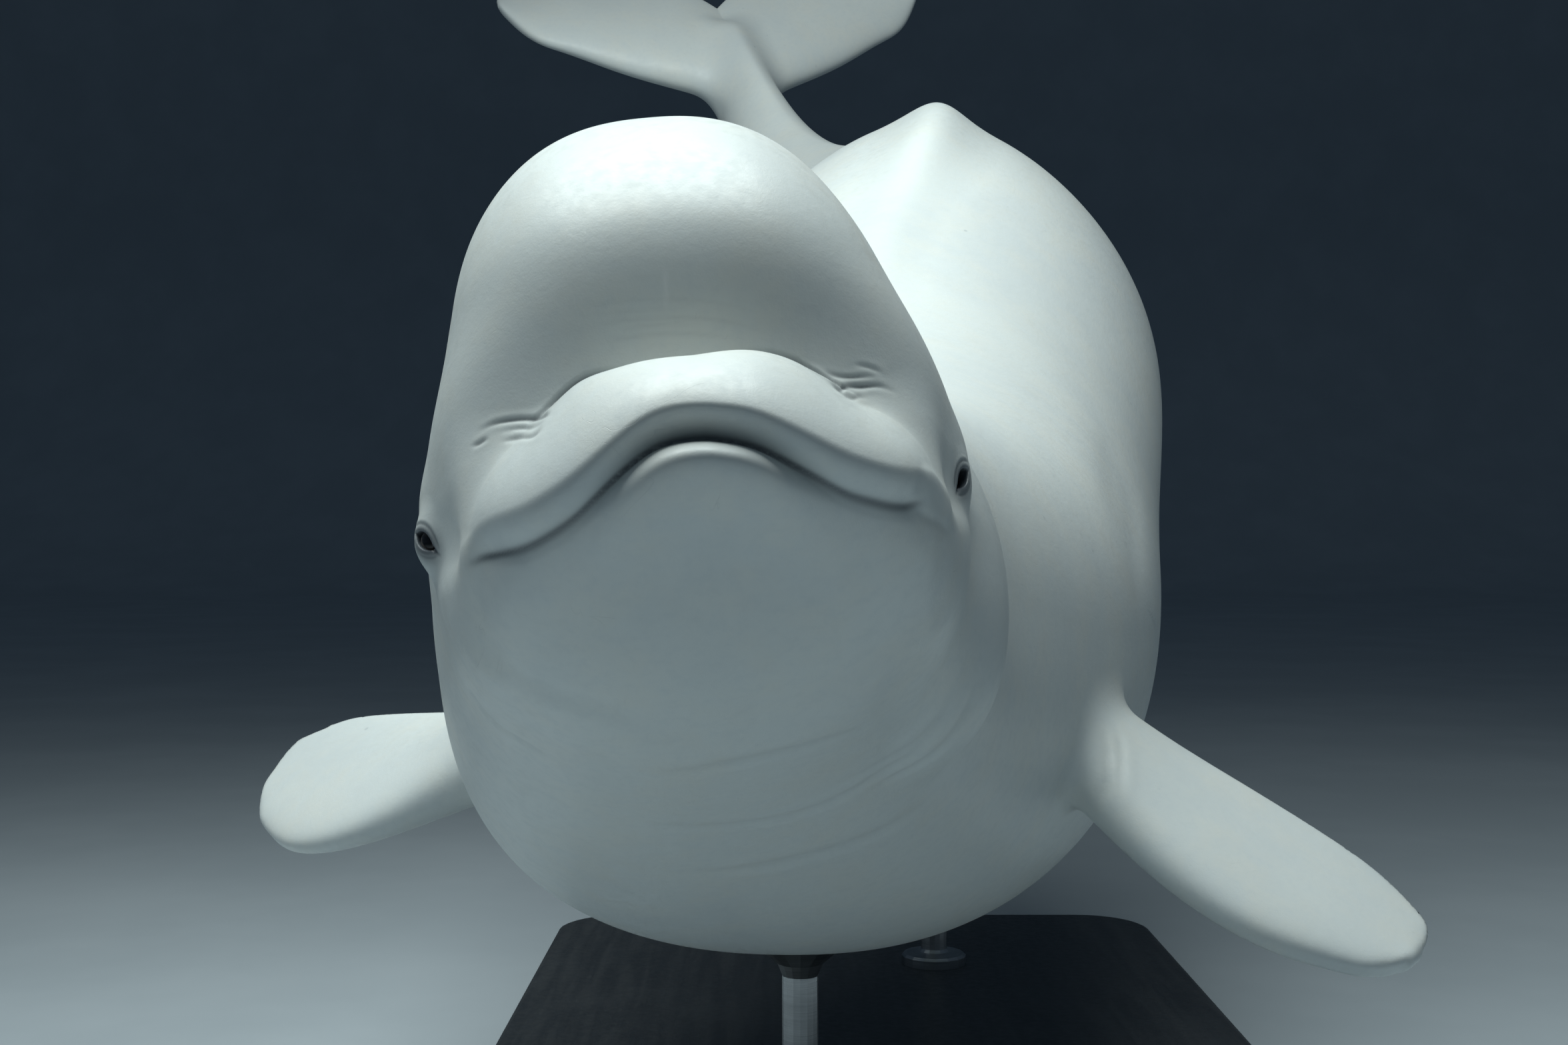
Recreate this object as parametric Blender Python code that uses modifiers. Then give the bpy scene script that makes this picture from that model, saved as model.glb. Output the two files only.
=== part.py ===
"""Adult beluga whale on a plain display stand, life size.

The animal is shaped straight first: x to its left, y from the snout tip toward the
tail, z up, all in metres. Then every point is carried onto a curved spine, so the
head is lifted and turned, the trunk swings out behind it and the tail is raised.
World: Z up, the floor at z = 0, the head toward -Y.
"""
import math

import bmesh
import bpy
import numpy as np

# ------------------------------------------------------------------ sizes
FLUKE_HALF_SPAN = 0.515
FLIPPER_LENGTH = 0.458      # root at the body's side to the tip
EYE_RADIUS = 0.017
EYE_LEAN = -0.0034                   # both eyes sit a little to its right
EYE_AT = (0.1912, 0.257, -0.0172)   # left eye centre, straight frame
GAP = 0.0003                # clearance between neighbouring pieces
BODY_LIFT = 0.80            # height of the spine's zero level over the floor
CENTRE_X, CENTRE_Y = 0.13, 2.75    # plan point that becomes the world origin, under the centre of mass

# where the body is parted, as distances from the snout tip
HEAD_END, NECK_END, CHEST_END = 0.44, 0.78, 1.36
TRUNK_FRONT_END, TRUNK_REAR_END, STOCK_END = 1.98, 2.78, 3.76
JAW_BACK = 0.205            # back end of the lower jaw and of the upper lip
MELON_BACK = 0.37

# stand
BASE_LENGTH, BASE_WIDTH, BASE_THICK, BASE_CORNER = 1.70, 1.10, 0.045, 0.12
ROD_RADIUS, COLLAR_RADIUS, COLLAR_THICK = 0.022, 0.055, 0.018
FRONT_ROD_AT, REAR_ROD_AT = 1.10, 1.95     # stations along the body

# ------------------------------------------------------------------ small maths


def spline(xs, ys):
    """Natural cubic through a few stations, held level beyond its ends."""
    xs, ys = np.asarray(xs, float), np.asarray(ys, float)
    n = len(xs)
    h = np.diff(xs)
    a, r = np.eye(n), np.zeros(n)
    for i in range(1, n - 1):
        a[i, i - 1:i + 2] = h[i - 1], 2 * (h[i - 1] + h[i]), h[i]
        r[i] = 6 * ((ys[i + 1] - ys[i]) / h[i] - (ys[i] - ys[i - 1]) / h[i - 1])
    m = np.linalg.solve(a, r)

    def at(x):
        x = np.clip(x, xs[0], xs[-1])
        i = np.clip(np.searchsorted(xs, x) - 1, 0, n - 2)
        d = h[i]
        u = (xs[i + 1] - x) / d
        v = 1 - u
        return u * ys[i] + v * ys[i + 1] + ((u**3 - u) * m[i] + (v**3 - v) * m[i + 1]) * d * d / 6
    return at


def ease(a, b, x):
    t = np.clip((x - a) / (b - a), 0, 1)
    return t * t * (3 - 2 * t)


def blend(a, b, k):
    """Smooth union of two distance fields."""
    h = np.clip(0.5 + 0.5 * (b - a) / k, 0, 1)
    return b * (1 - h) + a * h - k * h * (1 - h)


def trim(a, b, k):
    """Smooth intersection."""
    return -blend(-a, -b, k)

# ------------------------------------------------------------------ body form


# half width, height above and depth below the spine, by station
STATIONS = [0.10, 0.20, 0.30, 0.42, 0.55, 0.75, 1.00, 1.30, 1.70, 2.10, 2.50, 2.85, 3.15, 3.40, 3.60, 3.80]
half_width = spline(STATIONS, [.120, .165, .195, .228, .256, .314, .376, .405, .404, .394, .340, .240, .158, .095, .062, .040])
rise = spline(STATIONS, [.090, .150, .215, .258, .272, .290, .320, .350, .372, .365, .315, .238, .180, .138, .108, .060])
drop = spline(STATIONS, [.120, .160, .190, .218, .248, .303, .352, .378, .388, .362, .305, .228, .160, .115, .088, .050])
# how round the upper half of the section is: 2 is an ellipse, less is roof-like
roundness = spline([0.1, 0.5, 1.0, 1.5, 1.9, 2.4, 2.8, 3.3, 3.9], [2.2, 2.1, 2.0, 1.85, 1.75, 1.64, 1.6, 1.7, 1.9])


# the lower half is fullest under the throat
under_roundness = spline([0.3, 0.6, 0.8, 1.1, 3.9], [2.15, 2.5, 2.4, 2.2, 2.15])


def trunk(x, y, z):
    yc = np.maximum(y, 0.02)
    a = half_width(yc)
    h = np.where(z > 0, rise(yc), drop(yc))
    n = np.where(z > 0, roundness(yc), under_roundness(yc))
    u, v = np.abs(x) / a, np.abs(z) / h
    rho = (u**n + v**n + 1e-12)**(1 / n)
    g = np.sqrt((u**(n - 1) / a)**2 + (v**(n - 1) / h)**2 + 1e-12) * rho**(1 - n)
    d = np.where(rho > 0.3, (rho - 1) / g, -np.minimum(a, h) * (1 - rho))
    return trim(trim(d, 0.12 - y, 0.10), y - 3.80, 0.05)


def back_ridge(x, y, z):
    swell = ease(1.90, 2.20, y) * (1 - ease(2.35, 2.75, y))
    top = rise(y) + 0.010 * swell
    d = (np.sqrt((x / 0.032)**2 + ((z - top + 0.06) / 0.06)**2 + 1e-9) - 1) * 0.028
    return trim(d + 0.03 * (1 - swell), np.abs(y - 2.2) - 0.6, 0.05)


def egg(x, y, z, centre, radii, n=2.0):
    u, v, w = (np.abs(p - c) / r for p, c, r in zip((x, y, z), centre, radii))
    rho = (u**n + v**n + w**n + 1e-12)**(1 / n)
    g = np.sqrt((u**(n - 1) / radii[0])**2 + (v**(n - 1) / radii[1])**2 + (w**(n - 1) / radii[2])**2 + 1e-12)
    g = g * rho**(1 - n)
    return np.where(rho > 0.3, (rho - 1) / g, -min(radii) * (1 - rho))


# height of the mouth line and of the crease over the upper lip, by distance from the midline
mouth_line = spline([0, .033, .052, .068, .086, .105, .125, .140, .155, .175],
                    [-.0517, -.0571, -.0669, -.0764, -.0854, -.0893, -.0894, -.0848, -.0785, -.077])
crease_line = spline([0, .030, .055, .080, .095, .110, .125, .140, .160, .180],
                     [.0135, .0152, .0150, .0088, -.0012, -.0095, -.0095, -.0062, -.003, .000])


# the face is a little lopsided: both lines ride higher on the animal's right


def mouth_height(x):
    q = x / 0.045
    return mouth_line(np.abs(x)) - 0.0042 * q * np.exp(0.5 - 0.5 * q * q)


def crease_height(x):
    q = x / 0.10
    return crease_line(np.abs(x)) - 0.0055 * q**5 * np.exp(2.5 - 2.5 * q * q) + 0.0035 * np.exp(-((x - 0.045) / 0.035)**2)


# under its round brow the melon falls back ever more steeply to the crease
undercut = spline([-.05, -.03, -.01, .01, .03, .05, .07, .09, .11, .13, .155, .18],
                  [.063, .063, .062, .058, .050, .0385, .026, .0152, .0073, .0023, 0, 0])


def cranium(x, y, z):
    """Melon and braincase: an arched section whose front leans back to the crease."""
    top = z > 0
    rz = np.where(top, 0.311, 0.165)
    # the melon leans a little to its right, and the left cheek is the fuller
    x = x + 0.006 * ease(0.08, 0.22, z)
    wx = 0.200 - np.where(top, 0.013 * ease(0.0, 0.13, z), 0.016 * ease(0.0, 0.056, -z))
    wx = wx + 0.004 * ease(-0.05, 0.05, x) * (1 - ease(0.05, 0.15, z))
    n = np.where(top, 2.46, 2.4)
    y0, m = 0.285, 2.15
    ry = np.where(y < y0, 0.240 - undercut(z), 0.34)
    u, v, w = np.abs(x) / wx, np.abs(y - y0) / ry, np.abs(z) / rz
    q = u**n + w**n + 1e-12
    rho = (q**(m / n) + v**m + 1e-12)**(1 / m)
    k = rho**(1 - m)
    gx, gz, gy = k * q**(m / n - 1) * u**(n - 1) / wx, k * q**(m / n - 1) * w**(n - 1) / rz, k * v**(m - 1) / ry
    g = np.sqrt(gx * gx + gy * gy + gz * gz + 1e-12)
    d = np.where(rho > 0.3, (rho - 1) / g, -0.15 * (1 - rho))
    return trim(d, mouth_height(x) + 0.004 - z - 0.12 * ease(0.16, 0.30, y), 0.02)


def lip_roll(x, y, z):
    """The upper lip, a full roll round the front of the snout."""
    ax = np.abs(x)
    a, b, y0, n = 0.138, 0.155, 0.205, 2.35
    u, v = ax / a, np.abs(np.minimum(y, y0) - y0) / b
    rho = (u**n + v**n + 1e-12)**(1 / n)
    g = np.sqrt((u**(n - 1) / a)**2 + (v**(n - 1) / b)**2 + 1e-12) * rho**(1 - n)
    out = (rho - 1) / np.maximum(g, 1.0)
    fade = 1 - ease(0.150, 0.235, y)
    front = np.exp(-(x / 0.085)**2)
    deep = (0.027 + 0.013 * front) * fade + 0.004
    mouth, crease = mouth_height(x), crease_height(x)
    low = 0.20 - 0.04 * front
    h = z - mouth - low * (crease - mouth)
    tall = (np.where(h > 0, 1 - low, low) * (crease - mouth) + 0.004) * (0.55 + 0.45 * fade)
    # its upper face leans back like a shelf
    out = out + (0.30 + 0.11 * front) * fade * (np.sqrt(h * h + 0.020**2) + h - 0.020) / 2
    r = np.sqrt((out / deep)**2 + (h / tall)**2 + 1e-12)
    gg = np.sqrt((out / deep**2)**2 + (h / tall**2)**2 + 1e-12) / r
    return trim(np.where(r > 0.25, (r - 1) / gg, -deep * (1 - r)), y - 0.25, 0.01)


def lower_jaw(x, y, z):
    """A slender chin whose underside runs back to the throat, cut level with the mouth."""
    y = y + 0.024 * np.exp(-((z - mouth_height(x) + 0.031) / 0.022)**2 - (x / 0.076)**2)
    d = egg(x, y, z, (0, 0.255, -0.075), (0.176, 0.233, 0.112), 2.08)
    d = trim(d, (-z - 0.092 - 0.42 * (y - 0.04)) * 0.92, 0.032)
    return trim(d, z - mouth_height(x) + 0.003 + 0.003 * np.exp(-(x / 0.07)**2), 0.012 + 0.010 * (1 - ease(0.04, 0.09, np.abs(x))))


def body(p):
    """Distance field of head and trunk without fins; below zero is inside."""
    x, y, z = p[..., 0], p[..., 1], p[..., 2]
    skull = blend(cranium(x, y, z), lip_roll(x, y, z), 0.008 + 0.045 * ease(0.10, 0.17, y))
    skull = blend(skull, lower_jaw(x, y, z), 0.008 + 0.020 * ease(0.138, 0.165, np.abs(x) + 0.06 * x) + 0.045 * ease(0.165, 0.235, y))
    skull = blend(skull, egg(x, y, z, (0, 0.25, -0.04), (0.150, 0.195, 0.10), 2.2), 0.004)
    d = blend(blend(trunk(x, y, z), back_ridge(x, y, z), 0.075), skull, 0.06)
    d = blend(d, egg(np.abs(x), y, z, (0.170, 0.288, 0.014), (0.032, 0.044, 0.032)), 0.03)
    # a shallow hollow between the lip's lobe and the eye
    d = d + 0.0062 * np.exp(-((y - 0.207) / 0.032)**2 - ((z + 0.026) / 0.052)**2) * ease(0.10, 0.16, np.abs(x))
    # the neck bends to its left, so the skin bulges behind that cheek
    return blend(d, egg(x, y, z, (0.172, 0.455, -0.035), (0.085, 0.105, 0.150)), 0.035)

# ------------------------------------------------------------------ pose


# direction of the spine toward the tail: pitch up, yaw to +X and roll, in degrees
POSE_AT = [-0.1, 0.35, 0.6, 0.9, 1.3, 1.8, 2.3, 2.8, 3.2, 3.55, 3.8, 4.0]
pitch = spline(POSE_AT, [-20.0, -20.0, -13.8, -4.9, 12.5, 32.4, 27.0, 16.1, 35.4, 55.4, 59.1, 61.3])
yaw = spline(POSE_AT, [-2.0, -1.0, 5.0, 14.0, 10.5, 13.8, 4.4, -18.4, -27.8, -30.7, -28.0, -18.7])
roll = spline(POSE_AT, [6.9, 6.9, 5.8, 3.0, 0.0, -3.0, -3.0, 3.0, 9.0, 12.0, 12.0, 12.0])
EYES_STATION, EYES_POINT = 0.30, (-0.068, 1.468, 0.009)


def make_spine():
    s = np.linspace(-0.3, 4.2, 2251)
    p, w, r = np.radians(pitch(s)), np.radians(yaw(s)), np.radians(roll(s))
    t = np.stack([np.sin(w) * np.cos(p), np.cos(w) * np.cos(p), np.sin(p)], 1)
    step = s[1] - s[0]
    c = np.concatenate([[np.zeros(3)], np.cumsum((t[1:] + t[:-1]) / 2 * step, 0)])
    c = c - c[np.searchsorted(s, EYES_STATION)] + np.array(EYES_POINT)
    side = -np.cross(np.array([0, 0, 1.0]), t)
    side /= np.linalg.norm(side, axis=1, keepdims=True)
    up = np.cross(side, t)
    up /= np.linalg.norm(up, axis=1, keepdims=True)
    cr, sr = np.cos(r)[:, None], np.sin(r)[:, None]
    return s, c, side * cr + up * sr, up * cr - side * sr


SPINE_S, SPINE_C, SPINE_SIDE, SPINE_UP = make_spine()
TO_WORLD = np.array([-CENTRE_X, -CENTRE_Y, BODY_LIFT])


def posed(p):
    """Straight frame to world."""
    p = np.asarray(p, float)
    f = (p[:, 1] - SPINE_S[0]) / (SPINE_S[1] - SPINE_S[0])
    i = np.clip(f.astype(int), 0, len(SPINE_S) - 2)
    t = (f - i)[:, None]

    def at(a):
        return a[i] * (1 - t) + a[i + 1] * t
    return at(SPINE_C) + at(SPINE_SIDE) * p[:, :1] + at(SPINE_UP) * p[:, 2:3] + TO_WORLD

# ------------------------------------------------------------------ scene helpers


for old in list(bpy.data.objects):
    bpy.data.objects.remove(old)

animal = bpy.data.collections.new("beluga_whale")
helpers = bpy.data.collections.new("cutters")
bpy.context.scene.collection.children.link(animal)
bpy.context.scene.collection.children.link(helpers)
helpers.hide_render = True

root = bpy.data.objects.new("beluga_root", None)
animal.objects.link(root)


def material(name, colour, roughness, metallic=0.0):
    m = bpy.data.materials.new(name)
    m.use_nodes = True
    shader = m.node_tree.nodes["Principled BSDF"]
    shader.inputs["Base Color"].default_value = (*colour, 1)
    shader.inputs["Roughness"].default_value = roughness
    shader.inputs["Metallic"].default_value = metallic
    return m


def skin(part):
    return material("skin_" + part, (0.80, 0.82, 0.79), 0.42)


def place(ob, helper=False, mat=None, smooth=True):
    (helpers if helper else animal).objects.link(ob)
    if helper:
        ob.hide_render = True
        ob.display_type = "WIRE"
    else:
        ob.parent = root
    if mat:
        ob.data.materials.append(mat)
    if smooth:
        ob.data.shade_smooth()
    return ob


def mesh_object(name, points, faces):
    me = bpy.data.meshes.new(name)
    me.from_pydata([tuple(v) for v in points], [], faces)
    me.validate()
    me.update()
    return bpy.data.objects.new(name, me)


def loft(name, rings, start=None, end=None):
    """Skin a row of equal rings; each end closes on a pole point, or on the ring's middle."""
    rings = [np.asarray(r) for r in rings]
    n = len(rings[0])
    pts = [v for r in rings for v in r]
    pts.append(rings[0].mean(0) if start is None else np.asarray(start))
    pts.append(rings[-1].mean(0) if end is None else np.asarray(end))
    a, b = len(pts) - 2, len(pts) - 1
    faces = []
    for i in range(len(rings) - 1):
        for j in range(n):
            k = (j + 1) % n
            faces.append((i * n + j, (i + 1) * n + j, (i + 1) * n + k, i * n + k))
    last = (len(rings) - 1) * n
    for j in range(n):
        k = (j + 1) % n
        faces.append((a, j, k))
        faces.append((b, last + k, last + j))
    ob = mesh_object(name, pts, faces)
    # the pieces face outward
    v = np.array(pts)
    vol = 0.0
    for f in faces:
        for i in range(1, len(f) - 1):
            vol += np.dot(v[f[0]], np.cross(v[f[i]], v[f[i + 1]]))
    if vol < 0:
        ob.data.flip_normals()
    return ob


def cut(ob, other, how="DIFFERENCE"):
    m = ob.modifiers.new(how.lower(), "BOOLEAN")
    m.operation, m.solver, m.object = how, "EXACT", other


def surface_along(field, origins, directions, reach):
    """Outermost crossing of the field on each ray."""
    n = len(origins)
    steps = np.linspace(reach, 0.0, 80)
    hit = np.full(n, steps[-1])
    found = np.zeros(n, bool)
    for outer, inner in zip(steps[:-1], steps[1:]):
        inside = field(origins + directions * inner) < 0
        new = inside & ~found
        if new.any():
            lo, hi = np.full(new.sum(), inner), np.full(new.sum(), outer)
            o, d = origins[new], directions[new]
            for _ in range(18):
                mid = (lo + hi) / 2
                into = field(o + d * mid[:, None]) < 0
                lo, hi = np.where(into, mid, lo), np.where(into, hi, mid)
            hit[new] = (lo + hi) / 2
            found |= new
        if found.all():
            break
    return origins + directions * hit[:, None]


def section(y, count, centre_z=0.0, grow=0.0, reach=0.60):
    """Ring of the body where y is constant."""
    angle = np.arange(count) * 2 * math.pi / count
    d = np.stack([np.sin(angle), np.zeros(count), np.cos(angle)], 1)
    o = np.tile([0.0, y, centre_z], (count, 1))
    p = surface_along(body, o, d, reach)
    return p + d * grow


def segment(name, y0, y1, rings, count, mat=None, helper=False, grow=0.0):
    ys = np.linspace(y0, y1, rings)
    return place(loft(name, [posed(section(y, count, grow=grow)) for y in ys]), helper, mat)

# ------------------------------------------------------------------ head


HEAD_RING, HEAD_CENTRE = 42, (0.0, 0.235, -0.005)
# the polar angles crowd together over the lips, a little below straight ahead
POLAR = np.radians([5, 12, 18, 23, 28, 33, 38, 43, 49, 55, 62, 70, 80, 90])


def head_rings(grow=0.0):
    angle = np.arange(HEAD_RING) * 2 * math.pi / HEAD_RING
    rings = []
    for a in POLAR:
        d = np.stack([np.sin(angle) * math.sin(a), np.full(HEAD_RING, -math.cos(a)), np.cos(angle) * math.sin(a)], 1)
        o = np.tile(HEAD_CENTRE, (HEAD_RING, 1))
        rings.append(surface_along(body, o, d, 0.60) + d * grow)
    for y in np.linspace(HEAD_CENTRE[1], HEAD_END - GAP / 2, 6)[1:]:
        rings.append(section(y, HEAD_RING, HEAD_CENTRE[2], grow))
    tip = surface_along(body, np.array([HEAD_CENTRE]), np.array([[0, -1.0, 0]]), 0.6)[0]
    return [posed(r) for r in rings], posed(tip[None] - [[0, grow, 0]])[0]


rings, tip = head_rings()
whole_head = place(loft("whole_head", rings, start=tip), helper=True)


def curtain(name, lower, upper, y0, y1, grow):
    """Block between two height curves over the snout, for parting the head."""
    xs = np.linspace(-0.30, 0.30, 41)
    lo = np.stack([xs, lower(xs) - grow], 1)
    hi = np.stack([xs, upper(xs) + grow], 1)
    outline = np.concatenate([lo, hi[::-1]])
    rings = []
    for y in np.linspace(y0, y1 + grow, 4):
        rings.append(posed(np.stack([outline[:, 0], np.full(len(outline), y), outline[:, 1]], 1)))
    n = len(outline)
    pts = np.concatenate(rings)
    faces = [(i * n + j, i * n + (j + 1) % n, (i + 1) * n + (j + 1) % n, (i + 1) * n + j)
             for i in range(3) for j in range(n)]
    m = len(xs)
    for base, turn in ((0, False), (3 * n, True)):
        for j in range(m - 1):
            f = (base + j, base + j + 1, base + n - 2 - j, base + n - 1 - j)
            faces.append(f if turn else f[::-1])
    ob = mesh_object(name, pts, faces)
    v, vol = np.array(pts), 0.0
    for f in faces:
        for i in range(1, len(f) - 1):
            vol += np.dot(v[f[0]], np.cross(v[f[i]], v[f[i + 1]]))
    if vol < 0:
        ob.data.flip_normals()
    return place(ob, helper=True)


def far_below(x):
    return np.full_like(x, -0.40)


def far_above(x):
    return np.full_like(x, 0.45)


# the melon's lower border: the crease in front, then over the cheek above the eye
over_crease = spline([0, .055, .080, .110, .140, .180, .220, .300], [.0015, .002, .004, .008, .014, .028, .045, .060])


def melon_height(x):
    return crease_height(x) + over_crease(np.abs(x))


jaw_block = curtain("jaw_block", far_below, mouth_height, -0.10, JAW_BACK, -GAP / 2)
jaw_clear = curtain("jaw_clear", far_below, mouth_height, -0.10, JAW_BACK, GAP / 2)
lip_block = curtain("lip_block", mouth_height, crease_height, -0.10, JAW_BACK - 0.012, -GAP / 2)
lip_clear = curtain("lip_clear", mouth_height, crease_height, -0.10, JAW_BACK - 0.012, GAP / 2)
melon_block = curtain("melon_block", melon_height, far_above, -0.10, MELON_BACK, -GAP / 2)
melon_clear = curtain("melon_clear", melon_height, far_above, -0.10, MELON_BACK, GAP / 2)


def eye_ball(name, side, radius, helper=False, mat=None):
    bpy.ops.mesh.primitive_uv_sphere_add(segments=14, ring_count=8, radius=radius)
    ob = bpy.context.object
    ob.name = ob.data.name = name
    for c in list(ob.users_collection):
        c.objects.unlink(ob)
    ob.location = posed(np.array([[side * EYE_AT[0] + EYE_LEAN, EYE_AT[1], EYE_AT[2]]]))[0]
    return place(ob, helper, mat)


dark_eye = material("eye_dark", (0.035, 0.03, 0.028), 0.12)
eyes_clear = [eye_ball("eye_socket_left", 1, EYE_RADIUS + GAP, True), eye_ball("eye_socket_right", -1, EYE_RADIUS + GAP, True)]
eye_ball("eye_left", 1, EYE_RADIUS, mat=dark_eye)
eye_ball("eye_right", -1, EYE_RADIUS, mat=dark_eye)


def head_piece(name, steps):
    ob = bpy.data.objects.new(name, whole_head.data.copy())
    ob.data.name = name
    place(ob, mat=skin(name))
    for other, how in steps:
        cut(ob, other, how)
    return ob


head_piece("lower_jaw", [(jaw_block, "INTERSECT")])
head_piece("upper_lip", [(lip_block, "INTERSECT")])
head_piece("melon", [(melon_block, "INTERSECT")])
head_piece("head", [(jaw_clear, "DIFFERENCE"), (lip_clear, "DIFFERENCE"), (melon_clear, "DIFFERENCE"), (eyes_clear[0], "DIFFERENCE"), (eyes_clear[1], "DIFFERENCE")])

# ------------------------------------------------------------------ neck, trunk, tail

RING = 32
segment("neck", HEAD_END + GAP / 2, NECK_END - GAP / 2, 5, RING, skin("neck"))
chest = segment("chest", NECK_END + GAP / 2, CHEST_END - GAP / 2, 8, RING, skin("chest"))
segment("trunk_front", CHEST_END + GAP / 2, TRUNK_FRONT_END - GAP / 2, 7, RING, skin("trunk_front"))
segment("trunk_rear", TRUNK_FRONT_END + GAP / 2, TRUNK_REAR_END - GAP / 2, 9, RING, skin("trunk_rear"))
stock = segment("tail_stock", TRUNK_REAR_END + GAP / 2, STOCK_END, 11, 28, skin("tail_stock"))

# the same surfaces a hair larger, for trimming the fins and rods that meet them
core_rings = [section(y, RING, grow=GAP * 2)
              for y0, y1, n in ((HEAD_END, NECK_END, 5), (NECK_END, CHEST_END, 8), (CHEST_END, TRUNK_FRONT_END, 7), (TRUNK_FRONT_END, TRUNK_REAR_END, 9))
              for y in np.linspace(y0 + GAP / 2, y1 - GAP / 2, n)]
core_clear = place(loft("core_clear", [posed(r) for r in core_rings]), helper=True)
stock_clear = segment("stock_clear", TRUNK_REAR_END + GAP / 2, STOCK_END + GAP, 11, 28, helper=True, grow=GAP * 4)

# ------------------------------------------------------------------ flippers

FLIPPER_STATIONS = [-0.12, 0.0, 0.08, 0.19, 0.305, 0.375, 0.420, 0.446, 0.458]
flipper_half = spline(FLIPPER_STATIONS, [0.062, 0.060, 0.066, 0.090, 0.105, 0.093, 0.068, 0.038, 0.008])
flipper_thick = spline([-0.12, 0.0, 0.10, 0.25, 0.39, 0.455], [0.054, 0.046, 0.038, 0.028, 0.017, 0.010])
flipper_sweep = spline([-0.12, 0.0, 0.20, 0.34, 0.455], [0.0, 0.0, 0.010, 0.030, 0.060])


def axes(side, root_at, span, chord):
    s = np.array(span, float) / np.linalg.norm(span)
    c = np.array(chord, float)
    c -= s * (c @ s)
    c /= np.linalg.norm(c)
    r = np.array(root_at, float)
    for v in (r, s, c):
        v[0] *= side
    n = np.cross(s, c)
    return r, s, c, n if n[2] > 0 else -n


def flipper(name, side, root_at, span, chord, count=20):
    r, s, c, n = axes(side, root_at, span, chord)
    angle = np.arange(count) * 2 * math.pi / count
    rings = []
    us = [-0.09, -0.04, 0.0, 0.04, 0.085, 0.13, 0.18, 0.23, 0.28, 0.325, 0.362, 0.392, 0.416, 0.434, 0.446]
    for u in us:
        half, thick, mid = flipper_half(u), flipper_thick(u), flipper_sweep(u)
        root_swell = 1 + 0.22 * (1 - ease(0.0, 0.09, u))
        v = np.cos(angle)
        w = np.sin(angle) * thick * root_swell * (1 - 0.42 * v)
        w = w + 0.15 * max(u - 0.15, 0)**2
        rings.append(r + u * s + np.outer(mid + half * root_swell * v, c) + np.outer(w, n))
    tip_at = r + FLIPPER_LENGTH * s + flipper_sweep(FLIPPER_LENGTH) * c + 0.15 * (FLIPPER_LENGTH - 0.15)**2 * n
    ob = place(loft(name, [posed(q) for q in rings], end=posed(tip_at[None])[0]), mat=skin(name))
    cut(ob, core_clear)
    return ob


flipper("flipper_left", 1, (0.282, 0.932, -0.062), (0.704, -0.200, -0.676), (0.552, 0.768, 0.326))
flipper("flipper_right", -1, (0.287, 0.950, -0.093), (0.938, 0.195, -0.290), (-0.060, 0.820, 0.560))

# ------------------------------------------------------------------ flukes

leading_edge = spline([0.0, 0.06, 0.15, 0.28, 0.40, 0.48, 0.515], [3.53, 3.600, 3.652, 3.710, 3.778, 3.850, 3.925])
trailing_edge = spline([0.0, 0.03, 0.12, 0.25, 0.38, 0.47, 0.515], [3.885, 3.915, 3.965, 3.985, 3.975, 3.965, 3.955])


def fluke(name, side, count=18):
    angle = np.arange(count) * 2 * math.pi / count
    rings = []
    for x in [GAP, 0.03, 0.06, 0.10, 0.15, 0.20, 0.255, 0.31, 0.36, 0.405, 0.44, 0.47, 0.49, 0.503]:
        le, te = float(leading_edge(x)), float(trailing_edge(x))
        half, mid = (te - le) / 2 + 0.003, (te + le) / 2
        thick = 0.036 * (1 - x / FLUKE_HALF_SPAN)**0.7 + 0.009
        v = np.cos(angle)
        w = np.sin(angle) * thick * (1 - 0.55 * v)
        rings.append(posed(np.stack([np.full(count, side * x), mid + half * v, w], 1)))
    tip_at = posed(np.array([[side * FLUKE_HALF_SPAN, 3.945, 0.0]]))[0]
    ob = place(loft(name, rings, end=tip_at), mat=skin(name))
    cut(ob, stock_clear)
    return ob


fluke("fluke_left", 1)
fluke("fluke_right", -1)

# ------------------------------------------------------------------ stand

stand_paint = material("stand_base", (0.055, 0.06, 0.065), 0.45)
steel = material("stand_rod", (0.55, 0.56, 0.57), 0.32, 1.0)

bm = bmesh.new()
bmesh.ops.create_cube(bm, size=1)
bmesh.ops.scale(bm, vec=(BASE_WIDTH, BASE_LENGTH, BASE_THICK), verts=bm.verts)
upright = [e for e in bm.edges if abs(e.verts[0].co.z - e.verts[1].co.z) > BASE_THICK / 2]
bmesh.ops.bevel(bm, geom=upright, offset=BASE_CORNER, offset_type="OFFSET", segments=8, profile=0.5, affect="EDGES")
rim = [e for e in bm.edges if min(e.verts[0].co.z, e.verts[1].co.z) > BASE_THICK / 2 - 1e-6]
bmesh.ops.bevel(bm, geom=rim, offset=0.008, offset_type="OFFSET", segments=2, profile=0.5, affect="EDGES")
base_mesh = bpy.data.meshes.new("stand_base")
bm.to_mesh(base_mesh)
bm.free()
base = place(bpy.data.objects.new("stand_base", base_mesh), mat=stand_paint, smooth=False)
base.location = (0, 0, BASE_THICK / 2)


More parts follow.
